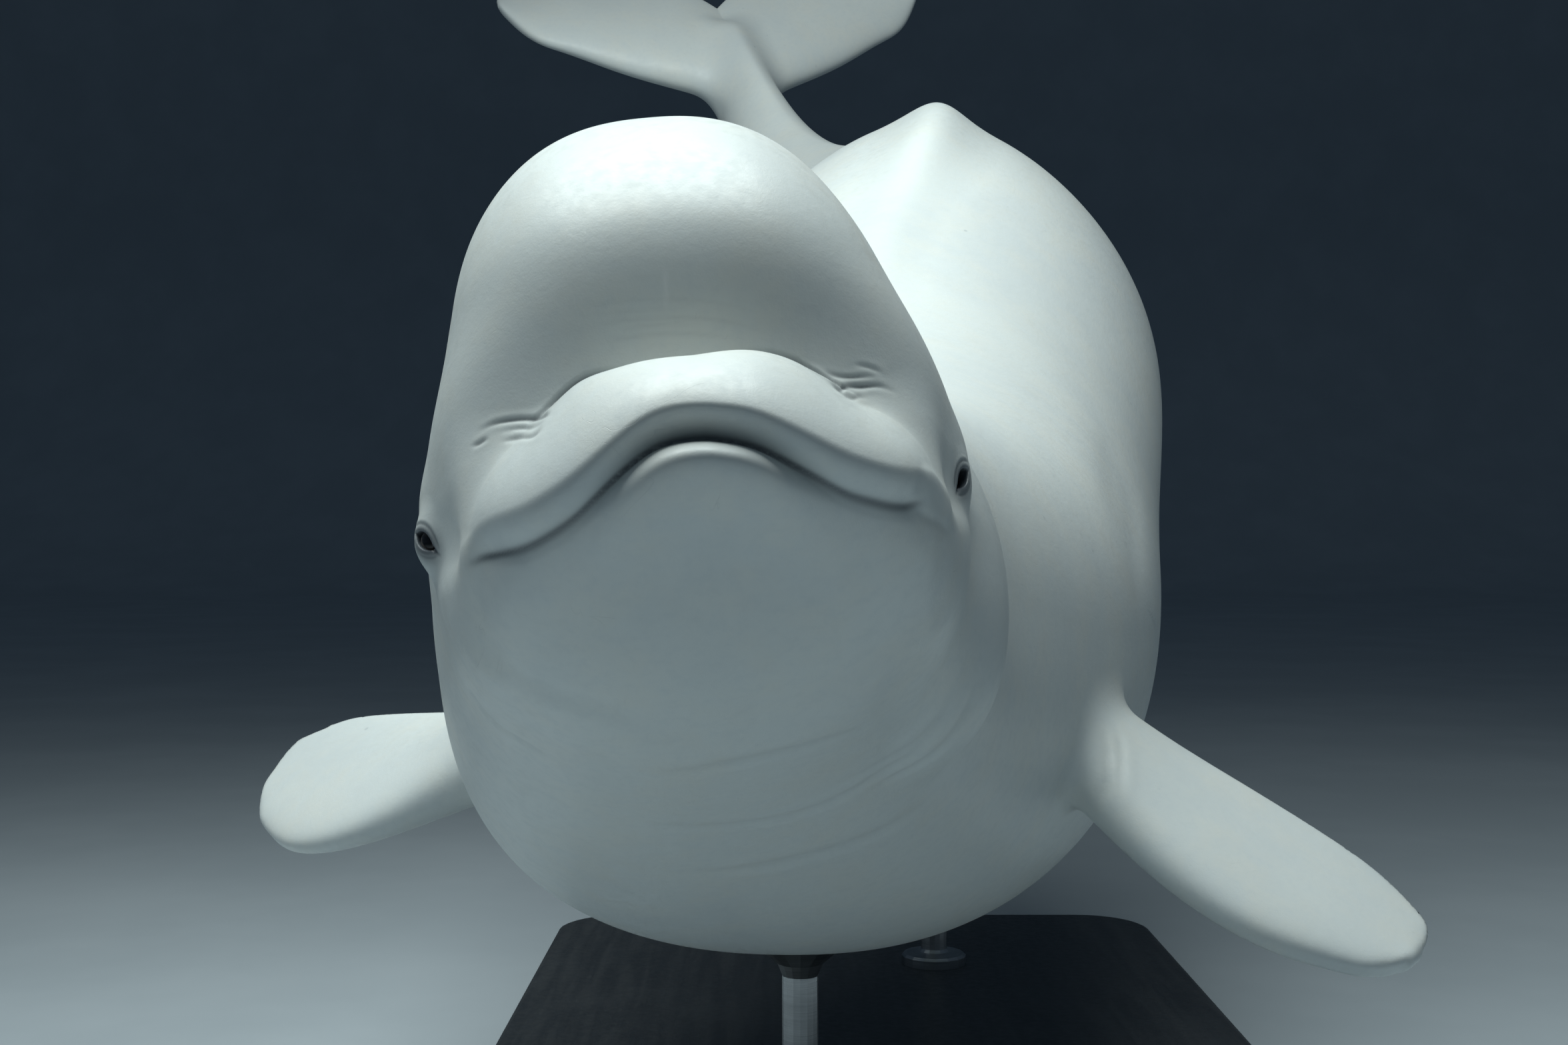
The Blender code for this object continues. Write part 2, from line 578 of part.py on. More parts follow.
def rod(name, station, trims):
    """Turned upright: foot collar, plain rod, and a flared seat cut to the belly."""
    low = section(station, 72)
    low = posed(low)
    at = low[np.argmin(low[:, 2])]
    top = posed(np.array([[0.0, station, 0.0]]))[0][2] - 0.10
    z0, seat = BASE_THICK + GAP, at[2]
    profile = [(0.0, z0), (COLLAR_RADIUS, z0), (COLLAR_RADIUS, z0 + COLLAR_THICK - 0.004), (COLLAR_RADIUS - 0.004, z0 + COLLAR_THICK),
               (ROD_RADIUS + 0.004, z0 + COLLAR_THICK + 0.003), (ROD_RADIUS, z0 + COLLAR_THICK + 0.008),
               (ROD_RADIUS, seat - 0.050), (ROD_RADIUS + 0.006, seat - 0.035), (COLLAR_RADIUS, seat - 0.012), (COLLAR_RADIUS, top), (0.0, top)]
    me = bpy.data.meshes.new(name)
    me.from_pydata([(r, 0, z) for r, z in profile], [(i, i + 1) for i in range(len(profile) - 1)], [])
    ob = place(bpy.data.objects.new(name, me), mat=steel)
    ob.location = (at[0], at[1], 0)
    turn = ob.modifiers.new("turn", "SCREW")
    turn.steps = turn.render_steps = 16
    turn.use_merge_vertices, turn.merge_threshold = True, 1e-5
    turn.use_normal_calculate = True
    for other in trims:
        cut(ob, other)
    return ob


rod("stand_rod_front", FRONT_ROD_AT, [core_clear])
rod("stand_rod_rear", REAR_ROD_AT, [core_clear])
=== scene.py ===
import math
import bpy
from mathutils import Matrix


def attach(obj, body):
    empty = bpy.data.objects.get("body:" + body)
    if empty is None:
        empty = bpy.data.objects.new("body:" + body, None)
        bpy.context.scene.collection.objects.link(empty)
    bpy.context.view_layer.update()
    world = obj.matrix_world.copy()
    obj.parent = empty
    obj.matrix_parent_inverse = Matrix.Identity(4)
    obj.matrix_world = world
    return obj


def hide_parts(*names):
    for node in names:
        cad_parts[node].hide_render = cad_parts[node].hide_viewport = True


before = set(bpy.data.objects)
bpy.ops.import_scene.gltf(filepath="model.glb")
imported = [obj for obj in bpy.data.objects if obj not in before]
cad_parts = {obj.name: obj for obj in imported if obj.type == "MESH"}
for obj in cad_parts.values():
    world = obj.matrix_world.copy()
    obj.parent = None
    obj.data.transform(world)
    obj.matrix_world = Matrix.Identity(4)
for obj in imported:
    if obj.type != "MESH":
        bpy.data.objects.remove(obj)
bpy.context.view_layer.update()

from concurrent.futures import ThreadPoolExecutor

import bmesh
import bpy
import numpy as np
from mathutils import Vector

# =====================================================================================
# The skin is one closed surface. It is worked out in a straight frame, x to the animal's
# left, y from the snout tip toward the tail, z up, in metres, and then carried onto the
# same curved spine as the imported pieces.
# =====================================================================================


def spline(xs, ys, n=3001):
    """Natural cubic through a few stations, kept as a fine table, level beyond its ends."""
    xs, ys = np.asarray(xs, float), np.asarray(ys, float)
    m = len(xs)
    h = np.diff(xs)
    a, r = np.eye(m), np.zeros(m)
    for i in range(1, m - 1):
        a[i, i - 1:i + 2] = h[i - 1], 2 * (h[i - 1] + h[i]), h[i]
        r[i] = 6 * ((ys[i + 1] - ys[i]) / h[i] - (ys[i] - ys[i - 1]) / h[i - 1])
    k = np.linalg.solve(a, r)
    grid = np.linspace(xs[0], xs[-1], n)
    i = np.clip(np.searchsorted(xs, grid) - 1, 0, m - 2)
    d = h[i]
    u = (xs[i + 1] - grid) / d
    v = 1 - u
    table = u * ys[i] + v * ys[i + 1] + ((u**3 - u) * k[i] + (v**3 - v) * k[i + 1]) * d * d / 6
    return lambda x: np.interp(x, grid, table)


def ease(a, b, x):
    t = np.clip((x - a) / (b - a), 0, 1)
    return t * t * (3 - 2 * t)


def blend(a, b, k):
    h = np.clip(0.5 + 0.5 * (b - a) / k, 0, 1)
    return b * (1 - h) + a * h - k * h * (1 - h)


def trim(a, b, k):
    return -blend(-a, -b, k)


def power(u, n):
    return np.exp(n * np.log(np.maximum(u, 1e-7)))


def bump(x, width):
    return np.exp(-(x / width)**2)


# ---------------------------------------------------------------- trunk
STATIONS = [0.10, 0.20, 0.30, 0.42, 0.55, 0.75, 1.00, 1.30, 1.70, 2.10, 2.50, 2.85, 3.15, 3.40, 3.60, 3.80]
half_width = spline(STATIONS, [.120, .165, .195, .228, .256, .314, .376, .405, .404, .394, .340, .240, .158, .095, .062, .040])
rise = spline(STATIONS, [.090, .150, .215, .258, .272, .290, .320, .350, .372, .365, .315, .238, .180, .138, .108, .060])
drop = spline(STATIONS, [.120, .160, .190, .218, .248, .303, .352, .378, .388, .362, .305, .228, .160, .115, .088, .050])
roundness = spline([0.1, 0.5, 1.0, 1.5, 1.9, 2.4, 2.8, 3.3, 3.9], [2.2, 2.1, 2.0, 1.85, 1.75, 1.64, 1.6, 1.7, 1.9])


# the lower half is fullest under the throat
under_roundness = spline([0.3, 0.6, 0.8, 1.1, 3.9], [2.15, 2.5, 2.4, 2.2, 2.15])


def trunk(x, y, z):
    yc = np.maximum(y, 0.02)
    a = half_width(yc)
    up = z > 0
    h = np.where(up, rise(yc), drop(yc))
    n = np.where(up, roundness(yc), under_roundness(yc))
    u, v = np.maximum(np.abs(x) / a, 1e-7), np.maximum(np.abs(z) / h, 1e-7)
    un, vn = np.exp(n * np.log(u)), np.exp(n * np.log(v))
    s = un + vn + 1e-12
    rho = np.exp(np.log(s) / n)
    g = np.sqrt((un / u / a)**2 + (vn / v / h)**2 + 1e-12) * rho / s
    d = np.where(rho > 0.3, (rho - 1) / g, -np.minimum(a, h) * (1 - rho))
    return trim(trim(d, 0.12 - y, 0.10), y - 3.80, 0.05)


def back_ridge(x, y, z):
    swell = ease(1.90, 2.20, y) * (1 - ease(2.35, 2.75, y))
    top = rise(y) + 0.010 * swell
    d = (np.sqrt((x / 0.032)**2 + ((z - top + 0.06) / 0.06)**2 + 1e-9) - 1) * 0.028
    return trim(d + 0.03 * (1 - swell), np.abs(y - 2.2) - 0.6, 0.05)


def egg(x, y, z, centre, radii, n=2.0):
    u, v, w = (np.maximum(np.abs(p - c) / r, 1e-7) for p, c, r in zip((x, y, z), centre, radii))
    if n == 2.0:
        rho = np.sqrt(u * u + v * v + w * w)
        g = np.sqrt((u / radii[0])**2 + (v / radii[1])**2 + (w / radii[2])**2 + 1e-12) / rho
    else:
        un, vn, wn = power(u, n), power(v, n), power(w, n)
        s = un + vn + wn
        rho = power(s, 1 / n)
        g = np.sqrt((un / u / radii[0])**2 + (vn / v / radii[1])**2 + (wn / w / radii[2])**2 + 1e-12) * rho / s
    return np.where(rho > 0.3, (rho - 1) / g, -min(radii) * (1 - rho))


# ---------------------------------------------------------------- head
mouth_line = spline([0, .033, .052, .068, .086, .105, .125, .140, .155, .175],
                    [-.0517, -.0571, -.0669, -.0764, -.0854, -.0893, -.0894, -.0848, -.0785, -.077])
crease_line = spline([0, .030, .055, .080, .095, .110, .125, .140, .160, .180],
                     [.0135, .0152, .0150, .0088, -.0012, -.0095, -.0095, -.0062, -.003, .000])


# the face is a little lopsided: both lines ride higher on the animal's right


def mouth_height(x):
    q = x / 0.045
    return mouth_line(np.abs(x)) - 0.0042 * q * np.exp(0.5 - 0.5 * q * q)


def crease_height(x):
    q = x / 0.10
    return crease_line(np.abs(x)) - 0.0055 * q**5 * np.exp(2.5 - 2.5 * q * q) + 0.0035 * np.exp(-((x - 0.045) / 0.035)**2)


# under its round brow the melon falls back ever more steeply to the crease
undercut = spline([-.05, -.03, -.01, .01, .03, .05, .07, .09, .11, .13, .155, .18],
                  [.063, .063, .062, .058, .050, .0385, .026, .0152, .0073, .0023, 0, 0])


def cranium(x, y, z):
    """Melon and braincase: an arched section whose front leans back to the crease."""
    top = z > 0
    rz = np.where(top, 0.311, 0.165)
    # the melon leans a little to its right, and the left cheek is the fuller
    x = x + 0.006 * ease(0.08, 0.22, z)
    wx = 0.200 - np.where(top, 0.013 * ease(0.0, 0.13, z), 0.016 * ease(0.0, 0.056, -z))
    wx = wx + 0.004 * ease(-0.05, 0.05, x) * (1 - ease(0.05, 0.15, z))
    n = np.where(top, 2.46, 2.4)
    y0, m = 0.285, 2.15
    ry = np.where(y < y0, 0.240 - undercut(z), 0.34)
    u, v, w = (np.maximum(q, 1e-7) for q in (np.abs(x) / wx, np.abs(y - y0) / ry, np.abs(z) / rz))
    un, wn, vm = np.exp(n * np.log(u)), np.exp(n * np.log(w)), power(v, m)
    q = un + wn + 1e-12
    qm = np.exp(np.log(q) * (m / n))
    s = qm + vm + 1e-12
    rho = power(s, 1 / m)
    k = rho / s
    gx, gz, gy = k * qm / q * un / u / wx, k * qm / q * wn / w / rz, k * vm / v / ry
    g = np.sqrt(gx * gx + gy * gy + gz * gz + 1e-12)
    return np.where(rho > 0.3, (rho - 1) / g, -0.15 * (1 - rho))


def lip_roll(x, y, z):
    """The upper lip, a full roll round the front of the snout."""
    ax = np.abs(x)
    a, b, y0, n = 0.138, 0.155, 0.205, 2.35
    u, v = np.maximum(ax / a, 1e-7), np.maximum(np.abs(np.minimum(y, y0) - y0) / b, 1e-7)
    un, vn = power(u, n), power(v, n)
    s = un + vn
    rho = power(s, 1 / n)
    g = np.sqrt((un / u / a)**2 + (vn / v / b)**2 + 1e-12) * rho / s
    out = (rho - 1) / np.maximum(g, 1.0)
    fade = 1 - ease(0.150, 0.235, y)
    front = np.exp(-(x / 0.085)**2)
    deep = (0.027 + 0.013 * front) * fade + 0.004
    mouth, crease = mouth_height(x), crease_height(x)
    low = 0.20 - 0.04 * front
    h = z - mouth - low * (crease - mouth)
    tall = (np.where(h > 0, 1 - low, low) * (crease - mouth) + 0.004) * (0.55 + 0.45 * fade)
    # its upper face leans back like a shelf
    out = out + (0.30 + 0.11 * front) * fade * (np.sqrt(h * h + 0.020**2) + h - 0.020) / 2
    r = np.sqrt((out / deep)**2 + (h / tall)**2 + 1e-12)
    gg = np.sqrt((out / deep**2)**2 + (h / tall**2)**2 + 1e-12) / r
    return trim(np.where(r > 0.25, (r - 1) / gg, -deep * (1 - r)), y - 0.25, 0.01)


def lower_jaw(x, y, z):
    """A slender chin whose underside runs back to the throat, cut level with the mouth."""
    y = y + 0.024 * np.exp(-((z - mouth_height(x) + 0.031) / 0.022)**2 - (x / 0.076)**2)
    d = egg(x, y, z, (0, 0.255, -0.075), (0.176, 0.233, 0.112), 2.08)
    d = trim(d, (-z - 0.092 - 0.42 * (y - 0.04)) * 0.92, 0.032)
    return trim(d, z - mouth_height(x) + 0.003 + 0.003 * np.exp(-(x / 0.07)**2), 0.012 + 0.010 * (1 - ease(0.04, 0.09, np.abs(x))))


def face_parts(x, y, z):
    """Melon, upper lip and lower jaw as separate fields; their meetings are the crease and the mouth."""
    melon = trim(cranium(x, y, z), mouth_height(x) + 0.004 - z - 0.12 * ease(0.16, 0.30, y), 0.02)
    lip = lip_roll(x, y, z)
    return melon, lip, lower_jaw(x, y, z)


def unit(v):
    return np.asarray(v, float) / np.linalg.norm(v)


EYE = np.array([0.1898, 0.2580, -0.0182])
EYE_RADIUS = 0.0168
# both eyes sit a little to the animal's right of the mirror plane
EYE_LEAN = -0.0050
# the eye looks out, a little forward and down; its opening runs back and up
EYE_OUT = unit([0.65, -0.745, -0.15])
EYE_LINE = unit(np.array([0.0, 0.80, 0.60]) - EYE_OUT * (np.array([0.0, 0.80, 0.60]) @ EYE_OUT))
EYE_OVER = np.cross(EYE_OUT, EYE_LINE)
EYE_OVER = EYE_OVER if EYE_OVER[2] > 0 else -EYE_OVER


def eye_frame(x, y, z):
    """Coordinates about the nearer eye: out of the head, along its opening toward the back, and over it."""
    x, y, z = np.abs(x - EYE_LEAN) - EYE[0], y - EYE[1], z - EYE[2]
    return tuple(x * v[0] + y * v[1] + z * v[2] for v in (EYE_OUT, EYE_LINE, EYE_OVER))


def lids(d, x, y, z):
    """Swells the skin over the eyeball and opens it in an almond between two lids."""
    o, b, u = eye_frame(x, y, z)
    d = blend(d, np.sqrt(o * o + b * b + u * u) - 0.0182, 0.022)
    half = 0.0142
    t = np.clip(1 - (b / half)**2, -3, 1)
    almond = np.maximum((np.abs(u) - np.where(u > 0, 0.0066, 0.0054) * t) * 0.75, 0.002 - o)
    return trim(d, -almond, 0.0024)


# ---------------------------------------------------------------- fins
FLIPPER_LENGTH = 0.458
flipper_half = spline([-0.12, 0.0, 0.08, 0.19, 0.305, 0.375, 0.420, 0.446, 0.458], [0.062, 0.060, 0.066, 0.090, 0.105, 0.093, 0.068, 0.038, 0.008])
flipper_thick = spline([-0.12, 0.0, 0.10, 0.25, 0.39, 0.455], [0.050, 0.042, 0.034, 0.024, 0.013, 0.006])
flipper_sweep = spline([-0.12, 0.0, 0.20, 0.34, 0.455], [0.0, 0.0, 0.010, 0.030, 0.060])


def axes(side, root_at, span, chord):
    s = np.array(span, float) / np.linalg.norm(span)
    c = np.array(chord, float)
    c -= s * (c @ s)
    c /= np.linalg.norm(c)
    r = np.array(root_at, float)
    for v in (r, s, c):
        v[0] *= side
    n = np.cross(s, c)
    return r, s, c, n if n[2] > 0 else -n


FLIPPER_LEFT = axes(1, (0.282, 0.932, -0.062), (0.704, -0.200, -0.676), (0.552, 0.768, 0.326))
FLIPPER_RIGHT = axes(-1, (0.287, 0.950, -0.093), (0.938, 0.195, -0.290), (-0.060, 0.820, 0.560))


def flipper_uvw(p, frame_):
    r, s, c, n = frame_
    q = p - r
    u, v, w = q @ s, q @ c, q @ n
    return u, v, w - 0.15 * np.maximum(u - 0.15, 0)**2


def flipper(p, frame_):
    u, v, w = flipper_uvw(p, frame_)
    uc = np.clip(u, -0.12, FLIPPER_LENGTH - 0.004)
    c, h, mid = flipper_half(uc) - 0.0015, flipper_thick(uc), flipper_sweep(uc)
    e = (v - mid) / c
    hh = h * (1 - 0.36 * np.clip(e, -1, 1))
    rho = np.sqrt(e * e + (w / hh)**2 + 1e-12)
    g = np.sqrt((e / c)**2 + (w / hh**2)**2 + 1e-12) / rho
    d = np.where(rho > 0.2, (rho - 1) / g, -hh * (1 - rho)) - 0.0055
    return trim(trim(d, u - FLIPPER_LENGTH, 0.012), -0.12 - u, 0.02)


FLUKE_HALF_SPAN = 0.515
leading_edge = spline([0.0, 0.06, 0.15, 0.28, 0.40, 0.48, 0.515], [3.53, 3.600, 3.652, 3.710, 3.778, 3.850, 3.925])
trailing_edge = spline([0.0, 0.03, 0.12, 0.25, 0.38, 0.47, 0.515], [3.885, 3.915, 3.965, 3.985, 3.975, 3.965, 3.955])


def flukes(x, y, z):
    ax = np.abs(x)
    axc = np.clip(ax, 0, FLUKE_HALF_SPAN - 0.002)
    le, te = leading_edge(axc), trailing_edge(axc)
    c, mid = (te - le) / 2, (te + le) / 2
    e = (y - mid) / c
    h = 0.036 * (1 - axc / FLUKE_HALF_SPAN)**0.7 + 0.006
    hh = h * (1 - 0.55 * np.clip(e, -1, 1))
    rho = np.sqrt(e * e + (z / hh)**2 + 1e-12)
    g = np.sqrt((e / c)**2 + (z / hh**2)**2 + 1e-12) / rho
    d = np.where(rho > 0.2, (rho - 1) / g, -hh * (1 - rho)) - 0.003
    return trim(d, ax - FLUKE_HALF_SPAN, 0.012)


def field(p):
    """Distance field of the whole animal; below zero is inside. Parts far off by station are skipped."""
    x, y, z = p[..., 0], p[..., 1], p[..., 2]
    y0, y1 = y.min(), y.max()
    d = trunk(x, y, z)
    if y1 > 1.45 and y0 < 2.95:
        d = blend(d, back_ridge(x, y, z), 0.075)
    if y0 < 0.75:
        melon, lip, jaw = face_parts(x, y, z)
        skull = blend(melon, lip, 0.008 + 0.045 * ease(0.10, 0.17, y))
        skull = blend(skull, jaw, 0.008 + 0.020 * ease(0.138, 0.165, np.abs(x) + 0.06 * x) + 0.045 * ease(0.165, 0.235, y))
        skull = blend(skull, egg(x, y, z, (0, 0.25, -0.04), (0.150, 0.195, 0.10), 2.2), 0.004)
        d = blend(d, skull, 0.06)
        d = blend(d, egg(np.abs(x), y, z, (0.170, 0.288, 0.014), (0.032, 0.044, 0.032)), 0.03)
        # a shallow hollow between the lip's lobe and the eye
        d = d + 0.0062 * np.exp(-((y - 0.207) / 0.032)**2 - ((z + 0.026) / 0.052)**2) * ease(0.10, 0.16, np.abs(x))
        d = blend(d, egg(x, y, z, (0.172, 0.455, -0.035), (0.085, 0.105, 0.150)), 0.035)
        if y1 > 0.215 and y0 < 0.305:
            d = lids(d, x, y, z)
    if y1 > 0.55 and y0 < 1.45:
        d = blend(d, np.minimum(flipper(p, FLIPPER_LEFT), flipper(p, FLIPPER_RIGHT)), 0.026)
    if y1 > 3.35:
        d = blend(d, flukes(x, y, z), 0.06)
    return d


# ---------------------------------------------------------------- surface
def ruler(*spans):
    """Grid planes from (start, end, step) spans, in whole blocks of eight."""
    out = [spans[0][0]]
    for a, b, step in spans:
        step = step * 1.0
        k = max(1, round((b - a) / step))
        out += list(np.linspace(a, b, k + 1)[1:])
    gap = out[-1] - out[-2]
    while (len(out) - 1) % 8:
        out.append(out[-1] + gap)
    return np.array(out)


def mirrored(r):
    half = r[1:] if r[0] == 0 else r
    return np.concatenate([-half[::-1], [0.0], half])


CORNERS = [(a, b, c) for a in (0, 1) for b in (0, 1) for c in (0, 1)]


def surface(xs, ys, zs, pool):
    """Surface nets on a grid with uneven spacing, looked at only in blocks near the surface."""
    nb = [(len(a) - 1) // 8 for a in (xs, ys, zs)]
    edges = [a[::8] for a in (xs, ys, zs)]
    mids = [(e[1:] + e[:-1]) / 2 for e in edges]
    half = [(e[1:] - e[:-1]) / 2 for e in edges]
    # y is the slow index, so each lot of blocks is a short stretch of the animal
    j, i, k = (q.ravel() for q in np.meshgrid(np.arange(nb[1]), np.arange(nb[0]), np.arange(nb[2]), indexing="ij"))
    centre = np.stack([mids[0][i], mids[1][j], mids[2][k]], 1)
    reach = np.sqrt(half[0][i]**2 + half[1][j]**2 + half[2][k]**2)
    parts = np.array_split(np.arange(len(centre)), max(1, len(centre) // 20000))
    d = np.concatenate(list(pool.map(lambda a: field(centre[a]), parts)))
    near = np.abs(d) < 1.8 * reach + 0.020
    blocks = np.stack([i, j, k], 1)[near]
    lots = np.array_split(np.arange(len(blocks)), max(1, len(blocks) // 160))
    step = np.arange(9)

    def one(a):
        b = blocks[a]
        px, py, pz = (g[b[:, n, None] * 8 + step] for n, g in enumerate((xs, ys, zs)))
        p = np.empty((len(b), 9, 9, 9, 3))
        p[..., 0], p[..., 1], p[..., 2] = px[:, :, None, None], py[:, None, :, None], pz[:, None, None, :]
        v = field(p)
        s = v < 0
        count = sum(s[:, q[0]:8 + q[0], q[1]:8 + q[1], q[2]:8 + q[2]].astype(np.int8) for q in CORNERS)
        cells = np.argwhere((count > 0) & (count < 8))
        n, a0, a1, a2 = cells.T
        at = b[n] * 8 + cells[:, 1:]
        corner = {q: v[n, a0 + q[0], a1 + q[1], a2 + q[2]] for q in CORNERS}
        total, hits = np.zeros((len(cells), 3)), np.zeros(len(cells))
        for q in CORNERS:
            for ax in range(3):
                if q[ax]:
                    continue
                other = tuple(1 if m == ax else q[m] for m in range(3))
                va, vb = corner[q], corner[other]
                cross = (va < 0) != (vb < 0)
                t = np.where(cross, va / np.where(cross, va - vb, 1), 0)
                for m in range(3):
                    total[:, m] += np.where(cross, q[m] + (t if m == ax else 0), 0)
                hits += cross
        frac = total / hits[:, None]
        pos = np.stack([g[at[:, m]] + frac[:, m] * (g[at[:, m] + 1] - g[at[:, m]]) for m, g in enumerate((xs, ys, zs))], 1)
        faces = []
        for ax in range(3):
            sl = [slice(0, 8)] * 3
            far = list(sl)
            far[ax] = slice(1, 9)
            e = np.argwhere(s[(slice(None), *sl)] != s[(slice(None), *far)])
            inside = s[(slice(None), *sl)][tuple(e.T)]
            faces.append((ax, b[e[:, 0]] * 8 + e[:, 1:], inside))
        return at, pos, faces

    found = list(pool.map(one, lots))
    at = np.concatenate([f[0] for f in found]).astype(np.int64)
    pos = np.concatenate([f[1] for f in found])
    nx, nz = len(xs), len(zs)

    def key(c):
        return (c[:, 1] * nx + c[:, 0]) * nz + c[:, 2]
    order = np.argsort(key(at), kind="stable")
    keys, pos = key(at)[order], pos[order]
    quads = []
    for ax in range(3):
        e = np.concatenate([f[2][ax][1] for f in found]).astype(np.int64)
        inside = np.concatenate([f[2][ax][2] for f in found])
        b1, b2 = [(1, 2), (2, 0), (0, 1)][ax]

        def cell(s1, s2):
            c = e.copy()
            c[:, b1] -= s1
            c[:, b2] -= s2
            kk = key(c)
            n = np.clip(np.searchsorted(keys, kk), 0, len(keys) - 1)
            return np.where(keys[n] == kk, n, -1)
        q = np.stack([cell(1, 1), cell(0, 1), cell(0, 0), cell(1, 0)], 1)
        q[~inside] = q[~inside][:, ::-1]
        quads.append(q)
    quads = np.concatenate(quads)
    whole = (quads >= 0).all(1)
    print("surface", len(pos), "points", len(quads), "quads", int((~whole).sum()), "open")
    return pos, quads[whole]


def slope(p, f0=None, e=1e-4):
    f0 = field(p) if f0 is None else f0
    return f0, np.stack([(field(p + np.eye(3)[m] * e) - f0) / e for m in range(3)], -1)


def settle(p, pool, rounds, most):
    """Moves points onto the surface along its slope."""
    order = np.argsort(p[:, 1], kind="stable")
    parts = np.array_split(order, max(1, len(p) // 12000))

    def one(a):
        q = p[a]
        for n in range(rounds):
            f0 = field(q)
            if n == 0:
                _, g = slope(q, f0)
                gg = np.maximum((g * g).sum(-1), 0.05)
            move = (f0 / gg)[:, None] * g
            length = np.linalg.norm(move, axis=1, keepdims=True)
            q = q - move * np.minimum(1, most / np.maximum(length, 1e-12))
        return q, g / np.sqrt(gg)[:, None]
    out, normal = np.empty_like(p), np.empty_like(p)
    for a, (q, g) in zip(parts, pool.map(one, parts)):
        out[a], normal[a] = q, g
    return out, normal


def relax(p, quads, amount):
    """Evens the points out toward the mean of their neighbours."""
    total, count = np.zeros_like(p), np.zeros(len(p))
    for a, b in ((0, 1), (1, 2), (2, 3), (3, 0)):
        for m in range(3):
            total[:, m] += np.bincount(quads[:, a], p[quads[:, b], m], len(p)) + np.bincount(quads[:, b], p[quads[:, a], m], len(p))
        count += np.bincount(quads[:, a], minlength=len(p)) + np.bincount(quads[:, b], minlength=len(p))
    return p + amount * (total / count[:, None] - p)


# ---------------------------------------------------------------- pose
POSE_AT = [-0.1, 0.35, 0.6, 0.9, 1.3, 1.8, 2.3, 2.8, 3.2, 3.55, 3.8, 4.0]
pitch = spline(POSE_AT, [-20.0, -20.0, -13.8, -4.9, 12.5, 32.4, 27.0, 16.1, 35.4, 55.4, 59.1, 61.3])
yaw = spline(POSE_AT, [-2.0, -1.0, 5.0, 14.0, 10.5, 13.8, 4.4, -18.4, -27.8, -30.7, -28.0, -18.7])
roll = spline(POSE_AT, [6.9, 6.9, 5.8, 3.0, 0.0, -3.0, -3.0, 3.0, 9.0, 12.0, 12.0, 12.0])
EYES_STATION, EYES_POINT = 0.30, (-0.068, 1.468, 0.009)
TO_WORLD = np.array([-0.13, -2.75, 0.80])


def make_spine():
    s = np.linspace(-0.3, 4.2, 2251)
    p, w, r = np.radians(pitch(s)), np.radians(yaw(s)), np.radians(roll(s))
    t = np.stack([np.sin(w) * np.cos(p), np.cos(w) * np.cos(p), np.sin(p)], 1)
    step = s[1] - s[0]
    c = np.concatenate([[np.zeros(3)], np.cumsum((t[1:] + t[:-1]) / 2 * step, 0)])
    c = c - c[np.searchsorted(s, EYES_STATION)] + np.array(EYES_POINT)
    side = -np.cross(np.array([0, 0, 1.0]), t)
    side /= np.linalg.norm(side, axis=1, keepdims=True)
    up = np.cross(side, t)
    up /= np.linalg.norm(up, axis=1, keepdims=True)
    cr, sr = np.cos(r)[:, None], np.sin(r)[:, None]
    return s, c, side * cr + up * sr, up * cr - side * sr


SPINE_S, SPINE_C, SPINE_SIDE, SPINE_UP = make_spine()


def posed(p):
    p = np.asarray(p, float)
    f = (p[:, 1] - SPINE_S[0]) / (SPINE_S[1] - SPINE_S[0])
    i = np.clip(f.astype(int), 0, len(SPINE_S) - 2)
    t = (f - i)[:, None]

    def at(a):
        return a[i] * (1 - t) + a[i + 1] * t
    return at(SPINE_C) + at(SPINE_SIDE) * p[:, :1] + at(SPINE_UP) * p[:, 2:3] + TO_WORLD


# ---------------------------------------------------------------- small forms on the skin
def smooth_noise(p, size, seed):
    """Soft value noise on a lattice of the given size, -1 to 1."""
    q = p / size + 100.0
    i = np.floor(q).astype(np.int64)
    f = q - i
    f = f * f * (3 - 2 * f)
    out = np.zeros(len(p))
    for a, b, c in CORNERS:
        h = ((i[:, 0] + a) * 73856093) ^ ((i[:, 1] + b) * 19349663) ^ ((i[:, 2] + c) * 83492791) ^ (seed * 2654435761)
        h = (h ^ (h >> 13)) * 1274126177
        v = ((h >> 8) & 0xFFFF) / 32767.5 - 1
        out += v * (f[:, 0] if a else 1 - f[:, 0]) * (f[:, 1] if b else 1 - f[:, 1]) * (f[:, 2] if c else 1 - f[:, 2])
    return out


